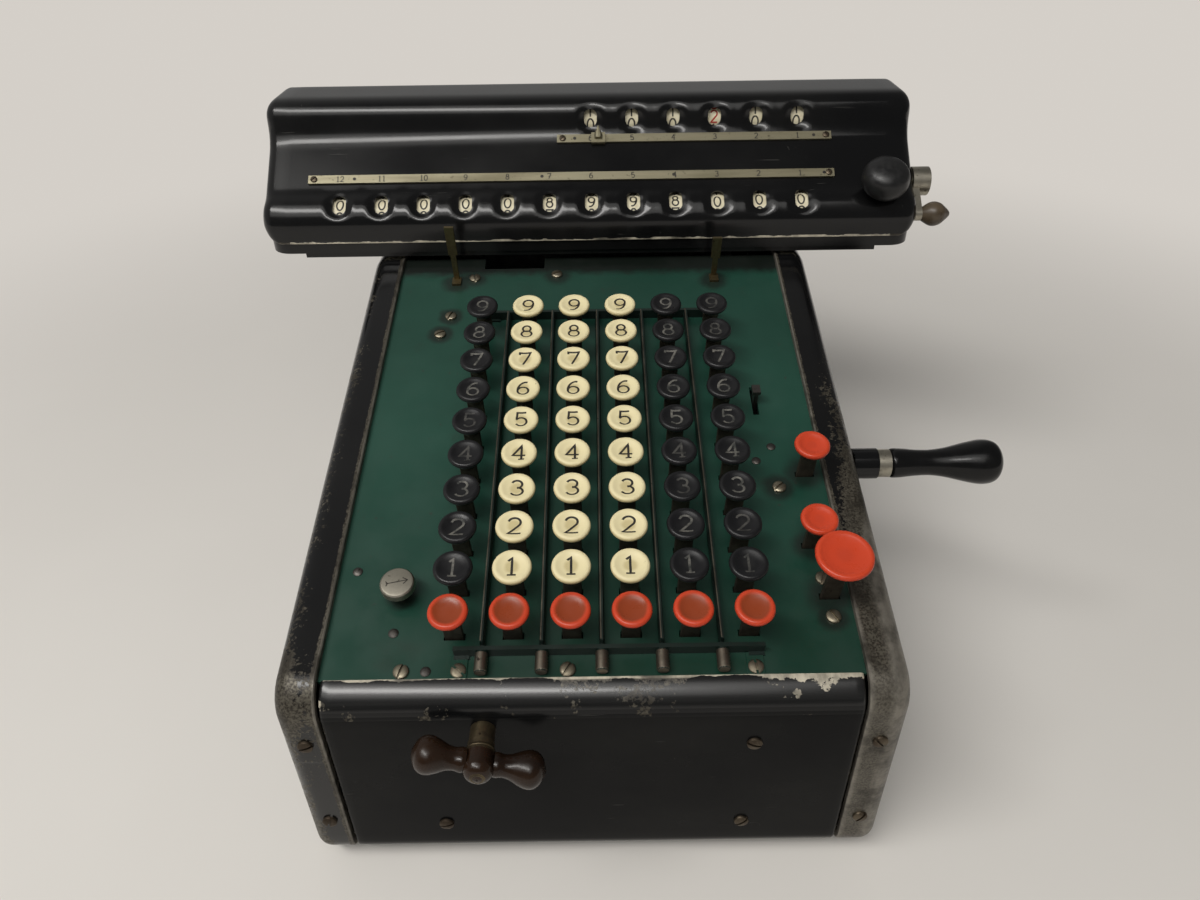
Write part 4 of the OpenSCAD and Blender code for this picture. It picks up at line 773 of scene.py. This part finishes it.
def cover_profile():
    """Side view of the cover, front edge to rear edge, at even steps with softened corners."""
    turn_up = Vector((VALLEY_END, RIDGE_PT.y + VALLEY_RUN * math.tan(VALLEY)))
    pts = [Vector((COVER_Y, COVER_Z))] + arc(LOW, RIDGE_LOW, 180, RIDGE_END, 60)
    square = lambda a: UP + RIDGE_UP * Vector((-math.cos(rad(a)) ** SQUARE, math.sin(rad(a)) ** SQUARE))
    foot, rise = turn_up - FILLET * Vector((math.cos(VALLEY), math.sin(VALLEY))), square(4)
    pts += [foot.lerp(turn_up, t / 20).lerp(turn_up.lerp(rise, t / 20), t / 20) for t in range(20)]
    pts += [square(4 + 86 * i / 60) for i in range(60)] + [UP + Vector((0, RIDGE_UP))]
    back = Vector((UP.x + TOP_FLAT, UP.y + RIDGE_UP - BACK_R))
    pts += arc(back, BACK_R, 90, 0, 40) + [Vector((back.x + BACK_R, COVER_Z))]
    step, soften, out, carry = 0.5, 12, [pts[0]], 0.0
    for a, b in zip(pts, pts[1:]):
        length, t = (b - a).length, step - carry
        while t <= length:
            out.append(a.lerp(b, t / length))
            t += step
        carry = length - (t - step)
    out.append(pts[-1])
    for _ in range(soften):
        out = [out[0]] + [(a + 2 * b + c) / 4 for a, b, c in zip(out, out[1:], out[2:])] + [out[-1]]
    return out


PROFILE = cover_profile()
STATIONS = [0.0]
for a, b in zip(PROFILE, PROFILE[1:]):
    STATIONS.append(STATIONS[-1] + (b - a).length)
REACH = STATIONS[-1]


def along(v):
    """Point and outward direction of the profile at a distance along it."""
    v = min(max(v, 0), REACH)
    i = min(max(sum(1 for s in STATIONS if s <= v) - 1, 0), len(PROFILE) - 2)
    t = (v - STATIONS[i]) / (STATIONS[i + 1] - STATIONS[i])
    a, b = PROFILE[max(i - 1, 0)], PROFILE[min(i + 2, len(PROFILE) - 1)]
    way = (b - a).normalized()
    return PROFILE[i].lerp(PROFILE[i + 1], t), Vector((-way.y, way.x))


def station(centre, degrees):
    """Distance along the profile of the point that faces up by an angle from a ridge axis."""
    way = Vector((-math.cos(rad(degrees)), math.sin(rad(degrees))))
    return max(((PROFILE[i] - centre).normalized().dot(way), STATIONS[i])
               for i in range(len(PROFILE)) if (PROFILE[i] - centre).length < 14)[1]


V_LOW, V_UP = station(LOW, WINDOW_LOW), station(UP, WINDOW_UP)
WINDOWS = [(DIAL_X - k * COL_PITCH, V_LOW, LOW_H) for k in range(LOW_DIALS)]
WINDOWS += [(DIAL_X - k * COL_PITCH, V_UP, UP_H) for k in range(UP_DIALS)]
CELL, CELLS = 9.3, 4  # half width of the square round a window, and its steps
ROUND_END, END_RUN, END_LOW = 6.5, 12, 9  # rounding of the ends, their length, height of the drawn-in corner


def press(x, v):
    """How deep the sheet is pressed in round the windows."""
    deep = 0.0
    for wx, wv, height in WINDOWS:
        if abs(x - wx) < CELL and abs(v - wv) < CELL:
            above = 1.35 if v > wv and height == LOW_H else 1
            away = math.hypot(x - wx, max(above * abs(v - wv) - (height - WINDOW_W) / 2, 0))
            floor = 1.5 - 0.75 * smoothstep(0, 4, v - wv)
            deep = max(deep, floor * (1 - smoothstep(WINDOW_W / 2 - 0.4, 7.2, away)))
    return deep


def skin(x, v, inset=0.0):
    """Point of the pressed sheet, or one set in from it."""
    p, out = along(v)
    p = p - out * (press(x, v) + inset)
    return (x, p.x, p.y)


def window_loops(wx, wv, height):
    """Loops from the square round a window in to its edge, and one that turns the edge down."""
    side = range(-CELLS, CELLS)
    edge = [(-CELLS, b) for b in side] + [(a, CELLS) for a in side]
    edge += [(CELLS, -b) for b in side] + [(-a, -CELLS) for a in side]
    straight, r = (height - WINDOW_W) / 2, WINDOW_W / 2
    loops = []
    for t in [1, 0.8, 0.64, 0.5, 0.38, 0.27, 0.17, 0.08, 0]:
        loop = []
        for a, b in edge:
            x, y = a / CELLS * CELL, b / CELLS * CELL
            way = Vector((x, y)).normalized()
            if abs(way.x) * straight <= abs(way.y) * r and abs(way.y) > 0:
                c = straight * abs(way.y)
                reach = c + math.sqrt(max(c * c - straight * straight + r * r, 0))
            else:
                reach = r / abs(way.x)
            loop.append(skin(wx + way.x * reach + (x - way.x * reach) * t,
                             wv + way.y * reach + (y - way.y * reach) * t))
        loops.append(loop)
    edge_in = [(p[0], Vector(p[1:]) - along(wv)[1] * 0.9) for p in loops[-1]]
    return loops + [[(x, q.x, q.y) for x, q in edge_in]]


def carriage_cover():
    """Pressed cover: two ridges, dished windows, rounded ends."""
    steps = [CELL * i / CELLS for i in range(2 * CELLS + 1)]
    vs = sorted({round(v, 4) for v in [REACH * i / 150 for i in range(151)]
                 if all(abs(v - w) > CELL + 0.4 for w in (V_LOW, V_UP))}
                | {round(w - CELL + d, 4) for w in (V_LOW, V_UP) for d in steps})
    xs = {round(DIAL_X - k * COL_PITCH - CELL + d, 4) for k in range(LOW_DIALS) for d in steps}
    lo, hi = CARRIAGE
    inner = (min(xs), max(xs))
    xs |= {round(lo + END_RUN + (inner[0] - lo - END_RUN) * i / 8, 4) for i in range(8)}
    xs |= {round(hi - END_RUN - (hi - END_RUN - inner[1]) * i / 8, 4) for i in range(8)}
    xs |= {round((a + b) / 2, 4) for a, b in zip(sorted(xs), sorted(xs)[1:]) if b - a > 2.5}
    xs = sorted(xs)
    hole = set()
    for wx, wv, _ in WINDOWS:
        i0 = min(range(len(xs)), key=lambda i: abs(xs[i] - (wx - CELL)))
        j0 = min(range(len(vs)), key=lambda j: abs(vs[j] - (wv - CELL)))
        hole |= {(i0 + a, j0 + b) for a in range(2 * CELLS) for b in range(2 * CELLS)}
    verts = [skin(x, v) for x in xs for v in vs]
    m = len(vs)
    faces = [(i * m + j, (i + 1) * m + j, (i + 1) * m + j + 1, i * m + j + 1)
             for i in range(len(xs) - 1) for j in range(m - 1) if (i, j) not in hole]
    below = lambda v: min(max(COVER_Z + END_LOW - along(v)[0].y, 0), END_LOW)
    pull = lambda v: END_LOW / 2 - math.sqrt(END_LOW ** 2 - below(v) ** 2) / 2
    rubbed = lambda v: 0.9 * (1 - smoothstep(COVER_Z + 0.2, COVER_Z + 1, v.z)) if v.y < COVER_Y + 3 else 0
    wear = lambda v: 0.17 * (1 - smoothstep(COVER_Z, COVER_Z + 5, v.z)) + 0.06 + rubbed(v)
    end_wear = lambda v: 0.1 + 0.1 * (1 - smoothstep(COVER_Z, COVER_Z + 12, v.z)) + rubbed(v)
    build = Build().add(verts, faces, slot=lambda f: int(f[0] % m == 0), wear=wear)
    for window in WINDOWS:
        build.add(*rings(window_loops(*window)), wear=0.05, flip=True)
    for end, sign in ((lo, 1), (hi, -1)):
        loops = []
        for a in range(0, 91, 9):
            loop, r = [], ROUND_END
            for v in vs:
                run = pull(v) + (END_RUN - pull(v)) / END_RUN * (r - r * math.sin(rad(a)))
                loop.append(skin(end + sign * (END_RUN if a == 0 else run), v, r - r * math.cos(rad(a))))
            loops.append(loop)
        build.add(*rings(loops, closed=False, last=True), wear=end_wear, flip=sign > 0)
    build.piece("carriage_skin", "carriage", [BLACK, LIP[-1]], "black_enamel", ("carriage_cover",), 50)


carriage_cover()


def on_valley(x, share, height=0.0):
    """A place on the slope between the ridges: sideways, share of its run, and above it."""
    return (shift(x, RIDGE_PT.x + share * VALLEY_RUN, RIDGE_PT.y + share * VALLEY_RUN * math.tan(VALLEY))
            @ Matrix.Rotation(VALLEY, 4, "X") @ shift(0, 0, height))


def scale_marks():
    """Numbers, holes and screws on the two scale strips."""
    build = Build()
    head = screw(3, 0.8, 0.5)
    spot = lathe([(0.75, 0), (0.75, 0.03), (0.02, 0.035)], 18)
    for share, count, left, dots in ((LOW_SHARE, LOW_DIALS, -127.45, (-106.4, -21, 39, 107.5)),
                                     (UP_SHARE, UP_DIALS, -14.15, (-6, 104))):
        for k in range(count):
            build.add(*numeral(k + 1, 2.6, 0.42), on_valley(DIAL_X - k * COL_PITCH, share, 1.02), 0)
        for x in dots:
            build.add(*spot, on_valley(x, share, 1), 0)
        for x, a in ((left + 2.6, 40), (DIAL_X + 13, 115)):
            build.add(*head, on_valley(x, share, 1) @ turn(a, "Z"), 1)
    build.piece("scale_marks", "carriage", [INK, BRONZE], "dark_steel")


scale_marks()


def slider_clip():
    """Bent clip over the upper strip, clear of its screws, with a pointed finger piece."""
    bend = [(-3, 0.4), (-3, 2.05), (-2.8, 2.25), (2.1, 2.25), (2.3, 2.05), (2.3, 1.15), (2, 1.15), (2, 1.9),
            (-2.6, 1.9), (-2.6, 0.4)]
    n = len(bend)
    loops = [[(x, y, z) for y, z in bend] for x in (-3.2, -1, 1, 3.2)]
    verts, faces = rings(loops)
    ends = [(0, 1, 2, 8, 9), (2, 3, 7, 8), (3, 4, 5, 6, 7)]
    faces += ends + [tuple(3 * n + i for i in reversed(f)) for f in ends]
    build = Build().add(verts, faces, on_valley(SLIDER_X, UP_SHARE), flip=True)
    outline = [(-1.7, -1.2), (1.7, -1.2), (1.9, 0.6), (0.35, 4.6), (-0.35, 4.6), (-1.9, 0.6)]
    loops = [[(x * k, y, z) for x, y in outline] for k, z in ((1, 0), (1, 0.75), (0.55, 1.5), (0.05, 1.6))]
    build.add(*rings(loops, first=True, last=True), on_valley(SLIDER_X, UP_SHARE, 2.2))
    build.piece("slider_clip", "slider", [STRIP], "nickel", ("scale_slider",), 30)


slider_clip()

# digit at each window, from the right; a fraction lies between two digits
SHOWN_LOW = [0, 0, 0.12, 8, 9, 9, 8, 0, 0, 0, 0, 0]
SHOWN_UP = [0.45, 0.45, 2, 0.55, 0.5, 0.48]


def dial_digits(name, body, centre, r, shown, facing, red):
    """Ten digits round every dial of a set."""
    build = Build()
    for k, value in enumerate(shown):
        x0 = DIAL_X - k * COL_PITCH
        for digit in range(10):
            angle = rad(180 - facing - (digit - value) * 36)

            def lay(x, y):
                a = angle - y / r
                return (x0 + x, centre.x + (r + 0.03) * math.cos(a), centre.y + (r + 0.03) * math.sin(a))

            paths = 1 if digit == 1 else None
            build.add(*numeral(digit, 5.2, 0.7, lay, paths), slot=1 if red and digit > 1 else 0)
    build.piece(name, body, [INK, INK_RED], "dial_white")


dial_digits("lower_digits", "lower_dial_set", LOW, LOW_DIAL_R, SHOWN_LOW, WINDOW_LOW + 5, False)
dial_digits("upper_digits", "upper_dial_set", UP, UP_DIAL_R, SHOWN_UP, WINDOW_UP, True)


def mushroom():
    """Satin knob on the right end of the carriage."""
    profile = [(4.2, -2), (4.2, 2), (6, 2.1), (8.6, 3.4), (10, 5.6), (10.5, 8), (10.2, 10.6), (9.1, 12.9),
               (7, 14.6), (4, 15.6), (0.1, 16)]
    place = shift(KNOB_X, LOW.x, LOW.y) @ turn(90 - KNOB_ANGLE, "X") @ shift(0, 0, RIDGE_LOW)
    smooth = [(p.x, p.y) for p in curve_through(profile, 3)]
    build = Build().add(*lathe(smooth, 48), place)
    build.piece("mushroom_knob", "carriage", [KNOB], "black_gloss", ("carriage_knob",), 60)


mushroom()

cap = lathe([(4.2, -1), (4.2, 0.9), (3.8, 1.4), (2.6, 1.7), (0.05, 1.8)], 32)
end_cap = Build().add(*cap, shift(CARRIAGE[0], LOW.x + 5, LOW.y + 2) @ turn(-90, "Y"))
end_cap.piece("shaft_end_cap", "carriage", [PATINA], "dark_steel", (), 40)

bead_at = shift(*CLEARING) @ turn(CLEAR_REST, "X") @ shift(3.5, -17.5, 0) @ turn(90, "Y")
bead = Build().add(*turned(BEAD_SHAPE, 13, 5.5), bead_at)
bead.piece("clearing_bead", "clearing", [HORN], "brown_wood", ("clearing_knob",), 60)


# ---- finishes of the solids that stay

FINISH = {
    "keyboard_plate": GREEN, "base_plate": BLACK, "rear_cover": BLACK, "rubber_feet": RUBBER,
    "inner_frame": STEEL, "carriage_rails": STEEL, "marker_bars": DARK_BAR, "column_pointers": BRASS,
    "index_lever": DARK_STEEL, "crank_arm": BLACK, "crank_ferrule": NICKEL, "crank_shaft": STEEL,
    "drum_shaft": STEEL, "actuator_drums": BRASS, "shift_shaft": PATINA, "shift_idler": BRASS,
    "carriage_frame": BLACK, "dial_scales": STRIP, "lower_dials": DIAL, "upper_dials": DIAL,
    "dial_shafts": STEEL, "clearing_crank": NICKEL}
FINISH.update({f"decimal_marker_{n}": DARK_BAR for n in range(1, 6)})
for name, look in FINISH.items():
    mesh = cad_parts[name].data
    mesh.materials.clear()
    mesh.materials.append(look)


# ---- floor, light and camera

def stage():
    """Pale floor that keeps the shadow near the object and shows plain pale further off."""
    look = Look("floor", Roughness=0.5, Specular_IOR_Level=0.3)
    tone = look.mix(look.range(look.noise(3, 4), 0.3, 0.7), (0.78, 0.755, 0.715), (0.75, 0.725, 0.685))
    look.set(Base_Color=tone)
    reach = look.node("VectorMath", {0: look.place}, operation="LENGTH").outputs["Value"]
    path = look.node("LightPath", {}).outputs
    seen = look.math("MAXIMUM", path["Is Camera Ray"], path["Is Glossy Ray"])
    seen = look.math("MAXIMUM", seen, path["Is Transmission Ray"])
    glow = look.node("Emission", {"Color": (0.66, 0.625, 0.58)}).outputs[0]
    far = look.math("MULTIPLY", seen, look.range(reach, 0.3, 0.8))
    blend = look.node("MixShader", {0: far, 1: look.shader.outputs[0], 2: glow})
    put(look.tree, look.tree.nodes["Material Output"].inputs["Surface"], blend.outputs[0])
    half = 4.0
    corners = [(-half, -half, 0), (half, -half, 0), (half, half, 0), (-half, half, 0)]
    mesh = bpy.data.meshes.new("floor")
    mesh.from_pydata(corners, [], [(0, 1, 2, 3)])
    mesh.materials.append(look.material)
    floor = bpy.data.objects.new("floor", mesh)
    bpy.context.scene.collection.objects.link(floor)


def room():
    """Even light, stronger from the back left."""
    world = bpy.data.worlds.new("room")
    world.use_nodes = True
    tree = world.node_tree
    way = add_node(tree, "TexCoord", {}).outputs["Generated"]
    side = add_node(tree, "VectorMath", {0: way, 1: (-0.6, 0.5, 0)}, operation="DOT_PRODUCT").outputs["Value"]
    level = add_node(tree, "MapRange", {"Value": side, "From Max": 0.4, "To Min": 0.12, "To Max": 0.32},
                     interpolation_type="SMOOTHSTEP")
    background = tree.nodes["Background"].inputs
    put(tree, background["Color"], (1.0, 0.985, 0.96))
    put(tree, background["Strength"], level.outputs[0])
    bpy.context.scene.world = world


def lamp(name, place, target, size, power):
    """Rectangular lamp that faces a target."""
    data = bpy.data.lights.new(name, "AREA")
    data.shape = "RECTANGLE"
    data.size, data.size_y = size
    data.energy = power
    data.color = (1, 0.98, 0.95)
    obj = bpy.data.objects.new(name, data)
    obj.location = place
    obj.rotation_euler = (Vector(target) - Vector(place)).to_track_quat("-Z", "Y").to_euler()
    bpy.context.scene.collection.objects.link(obj)


EYE, LENS = Vector((3.42, -173.11, 302.39)), 26.04


def camera():
    """Camera of the photo: place in mm, lens for a 36 mm sensor."""
    yaw, pitch, roll = rad(0.0232), rad(35.0615), rad(0.8317)
    ahead = Vector((math.sin(yaw) * math.cos(pitch), math.cos(yaw) * math.cos(pitch), -math.sin(pitch)))
    right = Vector((math.cos(yaw), -math.sin(yaw), 0))
    down = ahead.cross(right)
    across = math.cos(roll) * right + math.sin(roll) * down
    below = -math.sin(roll) * right + math.cos(roll) * down
    data = bpy.data.cameras.new("camera")
    data.lens, data.sensor_width = LENS, 36
    data.clip_start = 0.01
    obj = bpy.data.objects.new("camera", data)
    obj.matrix_world = Matrix((across, -below, -ahead)).transposed().to_4x4()
    obj.location = (EYE - MID) / 1000
    bpy.context.scene.collection.objects.link(obj)
    bpy.context.scene.camera = obj


stage()
room()
lamp("strip", (-0.6, -0.75, 1.5), (0, 0.1, 0.15), (1.5, 0.3), 16.0)
lamp("soft", (-0.42, -0.9, 1.57), (0, 0.1, 0.15), (2.0, 1.3), 12.0)
camera()
bpy.context.scene.view_settings.view_transform = "Standard"
